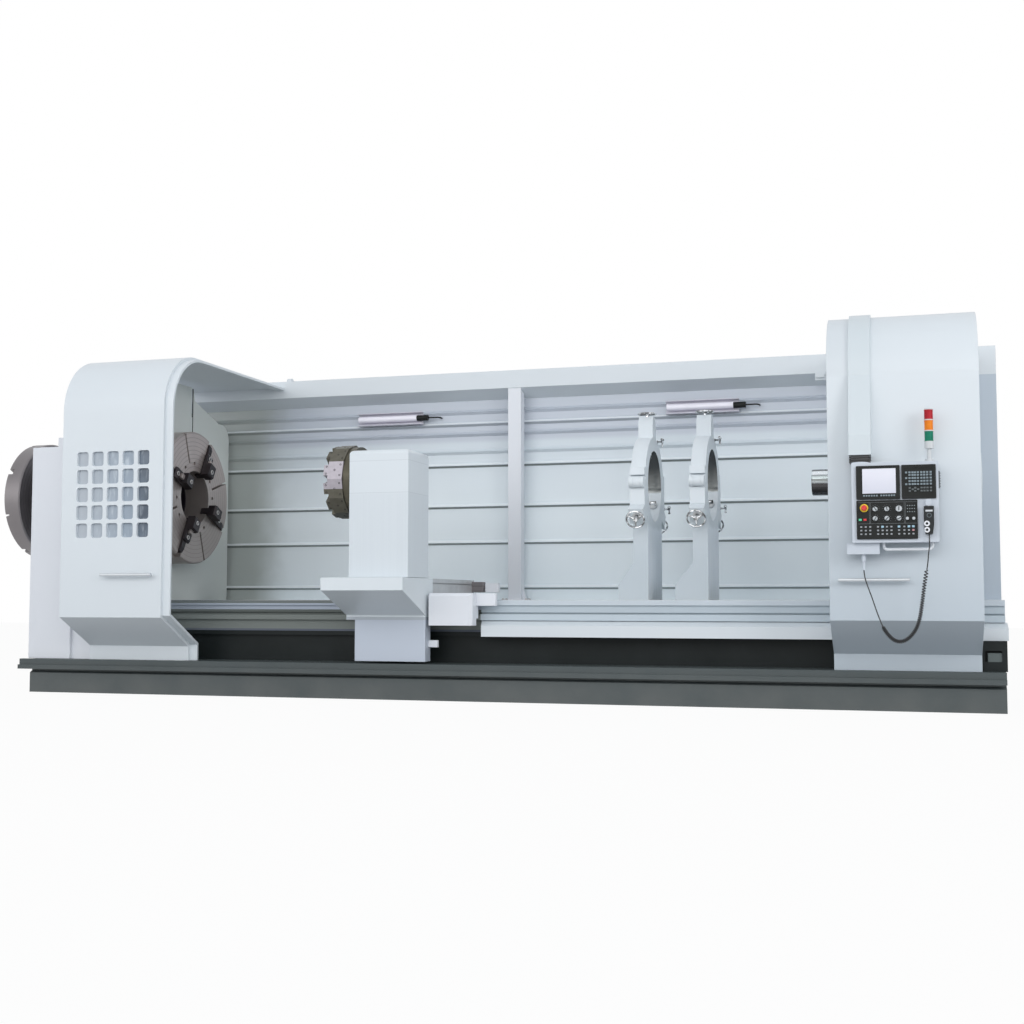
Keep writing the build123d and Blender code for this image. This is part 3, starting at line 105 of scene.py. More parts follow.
class Finish:
    """A material in the making. Settings go on a node before its sockets are fed."""

    def __init__(self, name, **fixed):
        self.material = bpy.data.materials.new(name)
        self.material.use_nodes = True
        self.tree = self.material.node_tree
        self.shader = self.tree.nodes["Principled BSDF"]
        for socket, value in fixed.items():
            self.feed(self.shader.inputs[socket.replace("_", " ")], value)

    def feed(self, place, value):
        if isinstance(value, Signal):
            self.tree.links.new(value.socket, place)
        elif place.type == "RGBA":
            place.default_value = (*value, 1)
        else:
            place.default_value = value

    def node(self, kind, settings, sockets, take=0):
        made = self.tree.nodes.new("ShaderNode" + kind)
        for key, value in settings.items():
            setattr(made, key, value)
        for key, value in sockets.items():
            self.feed(made.inputs[key], value)
        return Signal(self.tree, made.outputs[take])

    def place(self):
        return self.node("TexCoord", {}, {}, "Object")

    def axis(self, letter):
        return self.node("SeparateXYZ", {}, {0: self.place()}, "XYZ".index(letter))

    def stretched(self, scales):
        """The place with each axis scaled, so that noise is drawn out along an axis."""
        return self.node("VectorMath", {"operation": "MULTIPLY"}, {0: self.place(), 1: scales})

    def cloud(self, size, detail=2.0, place=None):
        """Soft noise around 0.5 whose features are about that size, in metres."""
        where = place or self.place()
        return self.node("TexNoise", {}, {"Vector": where, "Scale": 1 / size, "Detail": detail}, "Fac")

    def step(self, value, low, high):
        """0 below low, 1 above high, and a smooth rise between them."""
        ranged = {"interpolation_type": "SMOOTHSTEP"}
        return self.node("MapRange", ranged, {"Value": value, "From Min": low, "From Max": high})

    def zigzag(self, value, width):
        """Rises from 0 to the width and falls back, over and over."""
        return self.node("Math", {"operation": "PINGPONG"}, {0: value, 1: width})

    def blend(self, mask, first, second):
        return self.node("Mix", {"data_type": "RGBA"}, {0: mask, 6: first, 7: second}, 2)

    def bands(self, value, lowest, *edges):
        """Flat bands of colour: the lowest one, then pairs of where a band starts and its colour."""
        colour = lowest
        for start, above in edges:
            colour = self.blend(self.step(value, start - 0.002, start + 0.002), colour, above)
        return colour

    def paint(self, **varying):
        for socket, value in varying.items():
            self.feed(self.shader.inputs[socket.replace("_", " ")], value)

    def bump(self, height, depth, strength=1.0):
        sockets = {"Height": height, "Distance": depth, "Strength": strength}
        self.paint(Normal=self.node("Bump", {}, sockets))


def tint(colour, gain):
    return tuple(part * gain for part in colour)


floor_low = -0.001
floor_size = 60
floor_finish = Finish("sealed_floor", Roughness=0.75)
floor_mesh = bpy.data.meshes.new("floor")
half_floor = floor_size / 2
floor_mesh.from_pydata(
    [
        (-half_floor, -half_floor, floor_low),
        (half_floor, -half_floor, floor_low),
        (half_floor, half_floor, floor_low),
        (-half_floor, half_floor, floor_low),
    ],
    [],
    [(0, 1, 2, 3)],
)
floor = bpy.data.objects.new("floor", floor_mesh)
bpy.context.scene.collection.objects.link(floor)
floor_mesh.materials.append(floor_finish.material)
floor_grey = floor_finish.blend(floor_finish.cloud(1.4, 4), (0.40, 0.41, 0.42), (0.46, 0.47, 0.48))
floor_finish.paint(Base_Color=floor_grey)
seen = floor_finish.node("LightPath", {}, {}, "Is Camera Ray")
glossed = floor_finish.node("LightPath", {}, {}, "Is Glossy Ray")
passed = floor_finish.node("LightPath", {}, {}, "Is Transmission Ray")
white_floor = floor_finish.node("Emission", {}, {"Color": (1, 1, 1), "Strength": 1.0})
lit_floor = Signal(floor_finish.tree, floor_finish.shader.outputs[0])
white_share = (seen + glossed + passed) * 0.955
shown_floor = floor_finish.node("MixShader", {}, {0: white_share, 1: lit_floor, 2: white_floor})
floor_finish.feed(floor_finish.tree.nodes["Material Output"].inputs["Surface"], shown_floor)

world = bpy.data.worlds.new("white_sweep")
bpy.context.scene.world = world
world.use_nodes = True
sky_tree = world.node_tree
background = sky_tree.nodes["Background"]
light_path = sky_tree.nodes.new("ShaderNodeLightPath")
sky_mix = sky_tree.nodes.new("ShaderNodeMix")
sky_mix.data_type = "RGBA"
sky_mix.inputs[6].default_value = (0.60, 0.63, 0.67, 1)
sky_mix.inputs[7].default_value = (1, 1, 1, 1)
seen_sky = Signal(sky_tree, light_path.outputs["Is Camera Ray"])
glossed_sky = Signal(sky_tree, light_path.outputs["Is Glossy Ray"])
passed_sky = Signal(sky_tree, light_path.outputs["Is Transmission Ray"])
sky_tree.links.new((seen_sky + glossed_sky * 0.8 + passed_sky).socket, sky_mix.inputs[0])
sky_tree.links.new(sky_mix.outputs[2], background.inputs["Color"])
background.inputs["Strength"].default_value = 1.0


def soft_lamp(name, place, target, size, power):
    lamp_data = bpy.data.lights.new(name, "AREA")
    lamp_data.shape = "RECTANGLE"
    lamp_data.size, lamp_data.size_y = size
    lamp_data.energy = power
    lamp = bpy.data.objects.new(name, lamp_data)
    lamp.location = place
    lamp.rotation_euler = (Vector(target) - Vector(place)).to_track_quat("-Z", "Y").to_euler()
    bpy.context.scene.collection.objects.link(lamp)


soft_lamp("front_light", (-0.9, -9.8, 5.0), (-0.5, 0, 1.2), (15, 5), 400)
soft_lamp("left_light", (-9.5, -7.0, 3.5), (-2.0, 0, 1.2), (5, 4), 60)
soft_lamp("right_light", (10.0, -7.0, 4.0), (-3.0, 0, 1.6), (5, 4), 310)


# The base: a welded steel plinth, stoved in slate grey enamel. Its rolled lip along the top carries
# the rollers of both hoods.
def sprayed(name, roughness=0.38):
    """Sprayed and stoved enamel before its colour: an uneven gloss and faint orange peel."""
    made = Finish(name, IOR=1.5)
    made.paint(Roughness=made.cloud(0.05, 4) * 0.14 + (roughness - 0.07))
    made.bump(made.cloud(0.0035, 2), 0.0004, 0.35)
    return made


def enamel(name, colour, roughness=0.38, clouding=0.05, dust=0.0):
    """Sprayed enamel in one colour, with slight clouding, and dust near the floor."""
    made = sprayed(name, roughness)
    mottled = made.blend(made.cloud(1.1, 3), tint(colour, 1 - clouding), tint(colour, 1 + clouding))
    if dust:
        low = 1 - made.step(made.axis("Z"), 0.0, 0.45)
        mottled = made.blend(low * made.cloud(0.3, 5) * dust, mottled, (0.30, 0.29, 0.27))
    made.paint(Base_Color=mottled)
    return made


def dress(finish, *names):
    """Puts a finish on CAD nodes."""
    for name in names:
        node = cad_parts[name]
        node.data.materials.clear()
        node.data.materials.append(finish.material)


slate = enamel("slate_enamel", (0.050, 0.066, 0.069), 0.46, 0.10, dust=0.3)
dress(slate, "base")

# The bed: a long grey iron casting. Its ways are ground bright and its sides are painted. The
# hollow under the front way is painted near black, as painted shade.
bed_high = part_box("bed")[1]
bed_finish = Finish("bed_casting", Specular_IOR_Level=0.2)
bed_up, bed_along = bed_finish.axis("Z"), bed_finish.axis("X")
cast_clouds = bed_finish.cloud(0.35, 5)
# Near black below the ways: painted shade of the hollow under the front way.
hollow_shade = bed_finish.blend(cast_clouds, (0.0035, 0.0065, 0.0068), (0.008, 0.012, 0.0125))
painted_bed = bed_finish.bands(
    bed_up,
    hollow_shade,
    (0.538, (0.55, 0.62, 0.67)),
    (0.690, (0.40, 0.46, 0.50)),
    (0.700, (0.54, 0.61, 0.66)),
    (0.763, (0.62, 0.68, 0.73)),
)
# Left of the carriage the bed is uncovered. Its bands are darker, partly from bare steel and partly as
# painted shade of the left hood, and lighter towards the far left.
bare_and_shaded_bed = bed_finish.bands(
    bed_up,
    hollow_shade,
    (0.545, (0.12, 0.135, 0.17)),
    (0.562, (0.21, 0.23, 0.215)),
    (0.679, (0.115, 0.13, 0.12)),
    (0.726, (0.44, 0.49, 0.57)),
    (0.778, (0.17, 0.19, 0.187)),
)
far_left = (1 - bed_finish.step(bed_along, -2.7, -1.5)) * bed_finish.step(bed_up, 0.545, 0.55) * 0.1
bare_and_shaded_bed = bed_finish.blend(far_left, bare_and_shaded_bed, (0.42, 0.46, 0.45))
bare = 1 - bed_finish.step(bed_along, 0.04, 0.05)
bed_colour = bed_finish.blend(bare, painted_bed, bare_and_shaded_bed)
bed_colour = bed_finish.blend(cast_clouds * 0.12, bed_colour, (0.10, 0.11, 0.11))
scraped = bed_finish.blend(bed_finish.cloud(0.02, 3), (0.45, 0.45, 0.46), (0.62, 0.62, 0.62))
on_way = bed_finish.step(bed_up, bed_high.z - 0.003, bed_high.z - 0.001)
bed_colour = bed_finish.blend(on_way, bed_colour, scraped)
bed_finish.paint(Base_Color=bed_colour, Metallic=on_way * 0.85, Roughness=0.45 - on_way * 0.2)
bed_finish.bump(bed_finish.cloud(0.006, 3), 0.0006, 0.4)
dress(bed_finish, "bed")

# The way guard: a long folded sheet of painted steel, screwed along the front of the bed, where it
# keeps chips off the feed rack.
white = enamel("white_enamel", (0.715, 0.76, 0.79), 0.36, 0.025)
dress(white, "front_way_guard")


# The end box: a pocket at the bed's right end, cast open to the front. A block of rough iron is
# bolted in it, primed and never painted.
def pointing(start, facing):
    """The place of a part whose axis leaves its start in that direction."""
    return Matrix.Translation(start) @ Vector(facing).to_track_quat("Z", "Y").to_matrix().to_4x4()


class Shape:
    """Small parts drawn into one mesh in the lathe's own frame, to make one piece."""

    def __init__(self):
        self.mesh = bmesh.new()

    def slab(self, low, high, turn=Matrix()):
        size = [end - start for start, end in zip(low, high)]
        middle = [(end + start) / 2 for start, end in zip(low, high)]
        place = turn @ Matrix.Translation(middle) @ Matrix.Diagonal((*size, 1))
        bmesh.ops.create_cube(self.mesh, size=1, matrix=place)

    def sheet(self, outline, push, turn=Matrix()):
        """A flat outline pushed to a thickness."""
        corners = [self.mesh.verts.new(turn @ Vector(corner)) for corner in outline]
        face = self.mesh.faces.new(corners)
        pushed = bmesh.ops.extrude_face_region(self.mesh, geom=[face])["geom"]
        moved = [part for part in pushed if isinstance(part, bmesh.types.BMVert)]
        bmesh.ops.translate(self.mesh, vec=turn.to_3x3() @ Vector(push), verts=moved)

    def turned(self, start, facing, profile, turn=Matrix(), sides=28):
        """A turned part: pairs of distance along its axis and radius, from its start."""
        place = turn @ pointing(start, facing)
        rings = []
        for along, radius in profile:
            ring = []
            for side in range(sides):
                around = 2 * math.pi * side / sides
                corner = Vector((radius * math.cos(around), radius * math.sin(around), along))
                ring.append(self.mesh.verts.new(place @ corner))
            rings.append(ring)
        for first, second in zip(rings, rings[1:]):
            for side in range(sides):
                after = (side + 1) % sides
                self.mesh.faces.new((first[side], first[after], second[after], second[side]))
        self.mesh.faces.new(list(reversed(rings[0])))
        self.mesh.faces.new(rings[-1])

    def hoop(self, middle, facing, radius, thickness, turn=Matrix(), sides=40):
        """A round bar bent into a closed ring."""
        place = turn @ pointing(middle, facing)
        bar_sides = 10
        rings = []
        for step in range(sides):
            around = 2 * math.pi * step / sides
            ring = []
            for side in range(bar_sides):
                tube = 2 * math.pi * side / bar_sides
                reach = radius + thickness * math.cos(tube)
                rise = thickness * math.sin(tube)
                corner = Vector((reach * math.cos(around), reach * math.sin(around), rise))
                ring.append(self.mesh.verts.new(place @ corner))
            rings.append(ring)
        for first, second in zip(rings, rings[1:] + rings[:1]):
            for side in range(bar_sides):
                after = (side + 1) % bar_sides
                self.mesh.faces.new((first[side], second[side], second[after], first[after]))

    def piece(self, name, body, finish, edge=0.0015, replaces=()):
        """Turns the drawing into a piece on a body, with its edges eased."""
        bmesh.ops.recalc_face_normals(self.mesh, faces=self.mesh.faces)
        mesh = bpy.data.meshes.new(name)
        self.mesh.to_mesh(mesh)
        self.mesh.free()
        for face in mesh.polygons:
            face.use_smooth = True
        mesh.set_sharp_from_angle(angle=math.radians(35))
        mesh.materials.append(finish.material)
        made = bpy.data.objects.new(name, mesh)
        bpy.context.scene.collection.objects.link(made)
        eased = made.modifiers.new("eased", "BEVEL")
        eased.width = edge
        eased.segments = 2
        eased.limit_method = "ANGLE"
        eased.angle_limit = math.radians(35)
        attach(made, body)
        if replaces:
            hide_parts(*replaces)


iron = enamel("grey_iron", (0.095, 0.118, 0.117), 0.5, 0.12)
counterweight = Shape()
counterweight.slab((bed_high.x - 0.135, -0.645, 0.318), (bed_high.x - 0.028, -0.597, 0.425))
counterweight.piece("end_box_block", "machine", iron, 0.004)

# The headstock: an iron casting filled and painted white, with a stepped sheet cover over its drive
# and a door on the cover's end. Two flat sheets close the space between the casting and the hood,
# with a rubber seam between them.
def soften(width, *names):
    """Rounds the edges of CAD nodes a little, as grinding and paint do."""
    for name in names:
        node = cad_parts[name]
        weld = node.modifiers.new("weld", "WELD")
        weld.merge_threshold = 0.00002
        edges = node.modifiers.new("edges", "BEVEL")
        edges.width = width
        edges.segments = 2
        edges.limit_method = "ANGLE"
        edges.angle_limit = math.radians(35)
        edges.harden_normals = True


soft_edge = 0.003
bright_white = enamel("bright_white_enamel", (0.80, 0.82, 0.86), 0.4, 0.03)
dress(bright_white, "headstock_end_cover")
soften(soft_edge, "headstock_end_cover")
head_face_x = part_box("headstock_casting")[1].x - 0.012
head_white = sprayed("headstock_enamel", 0.4)
by_chuck = head_white.step(head_white.axis("X"), head_face_x - 0.014, head_face_x - 0.004)
head_white.paint(Base_Color=head_white.blend(by_chuck, (0.80, 0.82, 0.86), (0.69, 0.725, 0.70)))
dress(head_white, "headstock_casting")
cover_low, cover_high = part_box("headstock_end_cover")
cover_step_z = 2.170
door_depth = 0.083
end_door = Shape()
end_door.slab(
    (cover_low.x - door_depth, cover_low.y + 0.004, cover_low.z),
    (cover_low.x + 0.002, cover_high.y - 0.004, cover_step_z - 0.002),
)
end_door.piece("end_cover_door", "machine", bright_white, 0.004)
shield_left = head_face_x - 0.012
shield_thickness = 0.0126
front_sheet = [
    (-0.60, 2.37),
    (-0.60, 2.74),
    (-0.52, 2.80),
    (-0.40, 2.825),
    (0.350, 2.825),
    (0.350, 2.37),
]
rear_sheet = [
    (0.386, 2.37),
    (0.386, 2.825),
    (0.41, 2.705),
    (0.80, 2.565),
    (0.90, 2.53),
    (0.938, 2.46),
    (0.938, 2.37),
]
shield = Shape()
for outline in (front_sheet, rear_sheet):
    shield.sheet([(shield_left, across, up) for across, up in outline], (shield_thickness, 0, 0))
shield.piece("headstock_shield", "machine", head_white)
seam = Shape()
seam.slab((head_face_x - 0.004, 0.366, 2.36), (head_face_x + 0.0015, 0.380, 2.815))
black = Finish("moulded_black", Roughness=0.5, Specular_IOR_Level=0.25)
black.paint(Base_Color=black.blend(black.cloud(0.05, 3), (0.0055, 0.0065, 0.0065), (0.014, 0.016, 0.015)))
black.bump(black.cloud(0.0015, 2), 0.0002, 0.5)
seam.piece("headstock_seam", "machine", black)


# The spindle and its two four-jaw chucks: forged steel, turned on their faces so that fine rings
# and a few deeper witness grooves run round the bore.
class TurnedSteel(Finish):
    """Steel turned about an axis along X, with its tool marks as rings."""

    def __init__(self, name, axis_y, axis_z, metal, roughness):
        super().__init__(name, Metallic=metal)
        along, across, up = (self.axis(letter) for letter in "XYZ")
        from_axis = ((across - axis_y) ** 2 + (up - axis_z) ** 2) ** 0.5
        ringed = self.node("CombineXYZ", {}, {0: from_axis, 1: along})
        self.marks = self.cloud(0.004, 3, ringed)
        self.stains = self.cloud(0.16, 5)
        self.groove = self.step(self.zigzag(from_axis, 0.019), 0.0150, 0.0175)
        self.paint(Roughness=self.stains * 0.2 + (roughness - 0.1))
        self.bump(self.marks - self.groove * 0.8, 0.0008, 0.5)

    def tone(self, colour):
        """A colour with stains, bright tool marks and dark grooves."""
        stained = self.blend(self.stains, tint(colour, 0.82), tint(colour, 1.16))
        marked = self.blend(self.marks * 0.5, stained, tint(colour, 1.25))
        return self.blend(self.groove * 0.55, marked, tint(colour, 0.45))


spindle_z = 1.74
chuck_steel = TurnedSteel("turned_chuck", 0, spindle_z, 0.5, 0.38)
# The lower part of the front chuck is painted darker, as painted shade.
chuck_low_shade = 1 - chuck_steel.step(chuck_steel.axis("Z"), 1.45, 2.25)
chuck_tone = chuck_steel.tone((0.50, 0.44, 0.42))
chuck_steel.paint(Base_Color=chuck_steel.blend(chuck_low_shade * 0.5, chuck_tone, (0.22, 0.20, 0.185)))
dress(chuck_steel, "front_chuck")
# The rear chuck's steel is dull and dark, and its tone is darkened further as painted shade behind the
# headstock.
dark_and_shaded_steel = TurnedSteel("dull_and_shaded_chuck", 0, spindle_z, 0.65, 0.36)
dark_and_shaded_steel.paint(Base_Color=dark_and_shaded_steel.tone((0.21, 0.195, 0.20)))
dress(dark_and_shaded_steel, "rear_chuck")
# The spindle's bore is painted near black, as painted shade inside it, with a faint mottle.
bore_shade_finish = Finish("bore_painted_shade", Specular_IOR_Level=0.35)
bore_stains = bore_shade_finish.cloud(0.2, 4)
bore_shade_finish.paint(
    Base_Color=bore_shade_finish.blend(bore_stains, (0.007, 0.005, 0.009), (0.020, 0.016, 0.024)),
    Roughness=bore_stains * 0.3 + 0.3,
)
dress(bore_shade_finish, "spindle")
# The jaws are dark blued steel, and are painted near black as painted shade as well.
jaw_finish = Finish("blued_and_shaded_jaw", Metallic=0.5)
jaw_oil = jaw_finish.cloud(0.06, 4)
jaw_finish.paint(
    Base_Color=jaw_finish.blend(jaw_oil, (0.018, 0.014, 0.018), (0.055, 0.047, 0.050)),
    Roughness=jaw_oil * 0.35 + 0.22,
)
jaw_finish.bump(jaw_finish.cloud(0.003, 2), 0.0003, 0.4)
dress(jaw_finish, "rear_jaws", *[f"front_jaw_{turn}" for turn in range(1, 5)])

# The jaws' fixings: each hard jaw is held by two sunk cap screws, one on each step, and a ground
# steel key sits between them.
bright_steel = Finish("bright_steel", Metallic=0.8)
bright_grain = bright_steel.cloud(0.01, 3)
bright_steel.paint(
    Base_Color=bright_steel.blend(bright_grain, (0.48, 0.46, 0.45), (0.70, 0.68, 0.67)),
    Roughness=bright_grain * 0.25 + 0.2,
)
jaw_first_angle = 63
screw_profile = [
    (0, 0.021),
    (0.009, 0.021),
    (0.011, 0.019),
    (0.011, 0.013),
    (0.002, 0.0125),
    (0.002, 0.001),
]
jaw_face_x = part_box("front_chuck")[1].x
high_step = jaw_face_x + 0.102
low_step = jaw_face_x + 0.046
axis_place = Matrix.Translation((0, 0, spindle_z))
for place in range(4):
    turn = axis_place @ Matrix.Rotation(math.radians(jaw_first_angle + 90 * place), 4, "X")
    screws = Shape()
    for step_x, out in ((high_step, 0.272), (low_step, 0.418)):
        screws.turned((step_x - 0.006, out, 0), (1, 0, 0), screw_profile, turn)
    screws.piece(f"jaw_screws_{place + 1}", f"jaw_{place + 1}", bright_steel, 0.0006)
    key = Shape()
    key.slab((low_step - 0.003, 0.346, -0.023), (low_step + 0.026, 0.386, 0.023), turn)
    key.piece(f"jaw_key_{place + 1}", f"jaw_{place + 1}", chuck_steel, 0.003)

# The rear wall: folded sheet panels on a frame with a rib along each seam, a boxed beam on top and
# a square post in front. The panels nearest to the chuck are painted olive grey, as painted shade of
# the hood and a painted reflection of the chuck.
wall_finish = Finish("wall_enamel", IOR=1.5)
wall_along, wall_across, wall_up = (wall_finish.axis(letter) for letter in "XYZ")
wall_front = wall_across < 1.14
wall_clouds = wall_finish.cloud(0.9, 4)
wall_clean = wall_finish.blend(wall_clouds, (0.66, 0.725, 0.77), (0.72, 0.78, 0.825))
# Painted shade of the hood and painted reflection of the chuck, on the panels nearest to the chuck.
hood_shade_near_chuck = 1 - wall_finish.step(wall_along + wall_clouds * 0.8, -2.45, -1.95)
low_band = wall_finish.step(wall_up, 0.79, 0.80)
# The lower panels are painted lighter, as painted light.
lower_panels_painted_light = 1 - wall_finish.step(wall_up, 1.5, 2.4)
wall_clean = wall_finish.blend(lower_panels_painted_light, wall_clean, (0.90, 0.97, 1.0))
# The upper panels under the beam are painted darker, as painted shade.
upper_panels_shade = wall_finish.step(wall_up, 2.28, 2.34)
wall_clean = wall_finish.blend(upper_panels_shade * wall_front * 0.7, wall_clean, (0.54, 0.575, 0.65))
wall_colour = wall_finish.blend(hood_shade_near_chuck * wall_front * 0.8, wall_clean, (0.38, 0.41, 0.375))
wall_colour = wall_finish.blend(1 - low_band, wall_colour, (0.55, 0.61, 0.65))
wall_colour = wall_finish.blend(wall_finish.step(wall_along, 2.9, 3.85), wall_colour, (0.52, 0.59, 0.66))
shown_wall = (wall_along < 2.9) * wall_front
# Under each rib a dark line is painted as its shadow, and on the rib a light line is painted as its
# highlight.
for seam_z, strength in ((0.924, 0.8), (1.346, 0.8), (1.690, 0.85), (2.081, 0.85), (2.475, 0.35)):
    from_seam = wall_up - seam_z
    shaded = 1 - wall_finish.step(from_seam, -0.006, -0.002)
    rib_shadow = wall_finish.step(from_seam, -0.022, -0.018) * shaded
    lit = 1 - wall_finish.step(from_seam, 0.018, 0.022)
    rib_highlight = wall_finish.step(from_seam, 0, 0.003) * lit
    wall_colour = wall_finish.blend(rib_shadow * shown_wall * strength, wall_colour, (0.13, 0.15, 0.135))
    wall_colour = wall_finish.blend(rib_highlight * shown_wall * 0.8, wall_colour, (0.92, 0.96, 0.98))
wall_finish.paint(Base_Color=wall_colour, Roughness=wall_clouds * 0.1 + 0.3)
wall_finish.bump(wall_finish.cloud(0.0035, 2), 0.0004, 0.3)
dress(wall_finish, "rear_wall")
dress(white, "top_beam")
dress(bright_white, "beam_post")
soften(soft_edge, "top_beam", "beam_post")
post_low, post_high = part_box("beam_post")
post_screws = Shape()
for across in (0.028, 0.972):
    for deep in (0.2, 0.8):
        post_screws.turned(
            (
                post_low.x + across * (post_high.x - post_low.x),
                post_low.y + deep * (post_high.y - post_low.y),
                0.800,
            ),
            (0, 0, 1),
            [(0, 0.014), (0.012, 0.014), (0.0125, 0.011), (0.020, 0.011)],
            sides=6,
        )
post_screws.piece("post_screws", "machine", bright_steel, 0.001)
bracket = Shape()
bracket.slab((2.640, 0.918, 2.712), (2.733, 0.932, 2.787))
bracket.slab((2.650, 0.896, 2.730), (2.723, 0.920, 2.768))
bracket.piece("beam_bracket", "machine", white, 0.003)

# The work lights: frosted glass tubes with a lit lamp inside, in folded troughs with turned lips,
# held by clips, each with a black plug.
tube_glass = Finish("lit_tube", Roughness=0.3, Emission_Strength=0.14)
tube_glow = tube_glass.step(tube_glass.axis("Z"), 2.515, 2.545)
tube_colour = tube_glass.blend(tube_glow, (0.66, 0.65, 0.73), (0.84, 0.82, 0.89))
tube_glass.paint(Base_Color=tube_colour, Emission_Color=tube_colour)
dress(tube_glass, "work_lights")
trough_finish = enamel("trough_enamel", (0.64, 0.63, 0.70), 0.3, 0.03)
tube_low, tube_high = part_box("work_lights")
trough_back = tube_high.y + 0.016
trough_length = 0.66
tube_length = 0.6
trough_end = 0.012
for number, tube_left in ((1, tube_low.x), (2, tube_high.x - tube_length)):
    left = tube_left - trough_end
    right = left + trough_length
    trough = Shape()
    trough.slab((left, tube_high.y + 0.003, tube_low.z - 0.022), (right, trough_back, tube_high.z + 0.03))
    for edge_z in (tube_low.z - 0.026, tube_high.z + 0.026):
        trough.slab((left, tube_low.y + 0.006, edge_z - 0.004), (right, trough_back, edge_z + 0.004))
    trough.piece(f"light_trough_{number}", "machine", trough_finish, 0.002)
dress(black, "light_plugs")

# The left hood: a sheet guard that rolls along the base in front of the chuck. It has a welded lip
# at its right edge, and a smoked polycarbonate sheet behind its grid of windows.
dress(white, "left_hood", "left_hood_lip")
soften(soft_edge, "left_hood_lip")
pane = Finish("smoked_pane", Roughness=0.12, IOR=1.45)
# The pane is painted with light and shade. Its columns are lighter on the left and fade darker to the right,
# the right column is dark as painted shade, and light vertical streaks are painted reflections.
pane_across = pane.axis("X")
pane_shade = pane.step(pane_across, -2.80, -2.73)
pane_shading_fade = pane.step(pane_across, -3.36, -2.80)
pane_reflections = pane.step(pane.cloud(0.03, 2, pane.stretched((1, 1, 0.25))), 0.50, 0.72)
pane_tone = pane.blend(pane_shading_fade, (0.46, 0.50, 0.545), (0.33, 0.39, 0.46))
pane_tone = pane.blend(pane_reflections * pane_shading_fade * 0.55, pane_tone, (0.66, 0.72, 0.76))
pane_dark = pane.blend(pane.cloud(0.16, 3), (0.05, 0.062, 0.085), (0.20, 0.25, 0.31))
pane_dark = pane.blend(pane_reflections * 0.5, pane_dark, (0.50, 0.54, 0.58))
pane.paint(Base_Color=pane.blend(pane_shade, pane_tone, pane_dark))
dress(pane, "window_panes")
satin_bar = Finish("satin_bar", Metallic=0.55)
bar_grain = satin_bar.cloud(0.004, 2)
satin_bar.paint(
    Base_Color=satin_bar.blend(bar_grain, (0.50, 0.53, 0.56), (0.66, 0.69, 0.71)),
    Roughness=bar_grain * 0.2 + 0.25,
)
dress(satin_bar, "left_hood_handle")

# The right hood: the same guard without windows, over the tailstock. The arm of the control box
# hangs from the cable duct on its front.
hood_finish = sprayed("hood_enamel", 0.36)
# The right hood is painted darker towards the bottom and lighter towards the top, as painted shade.
hood_mottle = hood_finish.cloud(1.1, 3) * 0.25
hood_shade_rise = hood_finish.step(hood_finish.axis("Z") + hood_mottle, 0.6, 2.3)
hood_finish.paint(Base_Color=hood_finish.blend(hood_shade_rise, (0.50, 0.56, 0.61), (0.67, 0.715, 0.745)))
dress(hood_finish, "right_hood")
dress(satin_bar, "right_hood_handle")
soften(soft_edge, "right_hood")
arm_finish = sprayed("arm_enamel", 0.36)
arm_up = arm_finish.axis("Z")
# The rubber ribs are painted darker in the grooves between them, as painted shade.
rib_tops = arm_finish.step(arm_finish.zigzag(arm_up, 0.0065), 0.001, 0.005)
shaded_rubber_ribs = arm_finish.blend(rib_tops, (0.012, 0.012, 0.013), (0.05, 0.052, 0.055))
arm_white = arm_finish.blend(arm_finish.cloud(0.8, 3), (0.595, 0.65, 0.68), (0.635, 0.69, 0.715))
arm_finish.paint(Base_Color=arm_finish.bands(arm_up, shaded_rubber_ribs, (1.816, arm_white)))
dress(arm_finish, "control_arm")

# The control box: a painted sheet box with a screen, keys and an operator's panel on its front.
# The units are moulded black frames, and the keys, knobs and lamps are set into them.
dress(enamel("box_enamel", (0.57, 0.615, 0.675), 0.36), "control_box")
dress(black, "panel_units")
panel_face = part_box("panel_units")[0].y


def moulded(name, colour, roughness=0.4):
    """Plastic with the slight mottling that moulding leaves."""
    made = Finish(name)
    grain = made.cloud(0.006, 2)
    made.paint(
        Base_Color=made.blend(grain, tint(colour, 0.9), tint(colour, 1.1)),
        Roughness=grain * 0.2 + (roughness - 0.1),
    )
    return made


def keys(name, finish, size, places, rise=0.003):
    """Small keys or lamps set into the front of the panel, at pairs of X and Z."""
    drawn = Shape()
    for along, up in places:
        drawn.slab(
            (along - size[0] / 2, panel_face - rise, up - size[1] / 2),
            (along + size[0] / 2, panel_face + 0.001, up + size[1] / 2),
        )
    drawn.piece(name, "control", finish, 0.0006)


screen = Finish("screen_glass", Roughness=0.3, Emission_Strength=0.06)
screen_rise = screen.step(screen.axis("Z") + screen.cloud(0.1, 2) * 0.05, 1.53, 1.73)
screen_tone = screen.blend(screen_rise, (0.62, 0.63, 0.71), (0.73, 0.73, 0.80))
screen.paint(Base_Color=screen_tone, Emission_Color=screen_tone)
screen_sheet = Shape()
screen_sheet.slab((3.096, panel_face - 0.0015, 1.539), (3.319, panel_face + 0.001, 1.711))
screen_sheet.piece("screen_pane", "control", screen, 0.001)
key_grey = moulded("key_grey", (0.20, 0.25, 0.28))
dim_grey = moulded("dim_key", (0.10, 0.115, 0.12))
soft_row = [3.106 + 0.0172 * step + (0.012 if step > 5 else 0) for step in range(12)]
keys("soft_keys", key_grey, (0.012, 0.011), [(along, 1.524) for along in soft_row])
key_columns = (3.4105, 3.430, 3.4465, 3.4655, 3.488, 3.507, 3.5265, 3.549)
keyboard = [(along, up) for up in (1.679, 1.661, 1.640, 1.619, 1.598) for along in key_columns]
keyboard += [(3.388, up) for up in (1.679, 1.640, 1.598)]
keys("letter_keys", key_grey, (0.0145, 0.0125), keyboard)
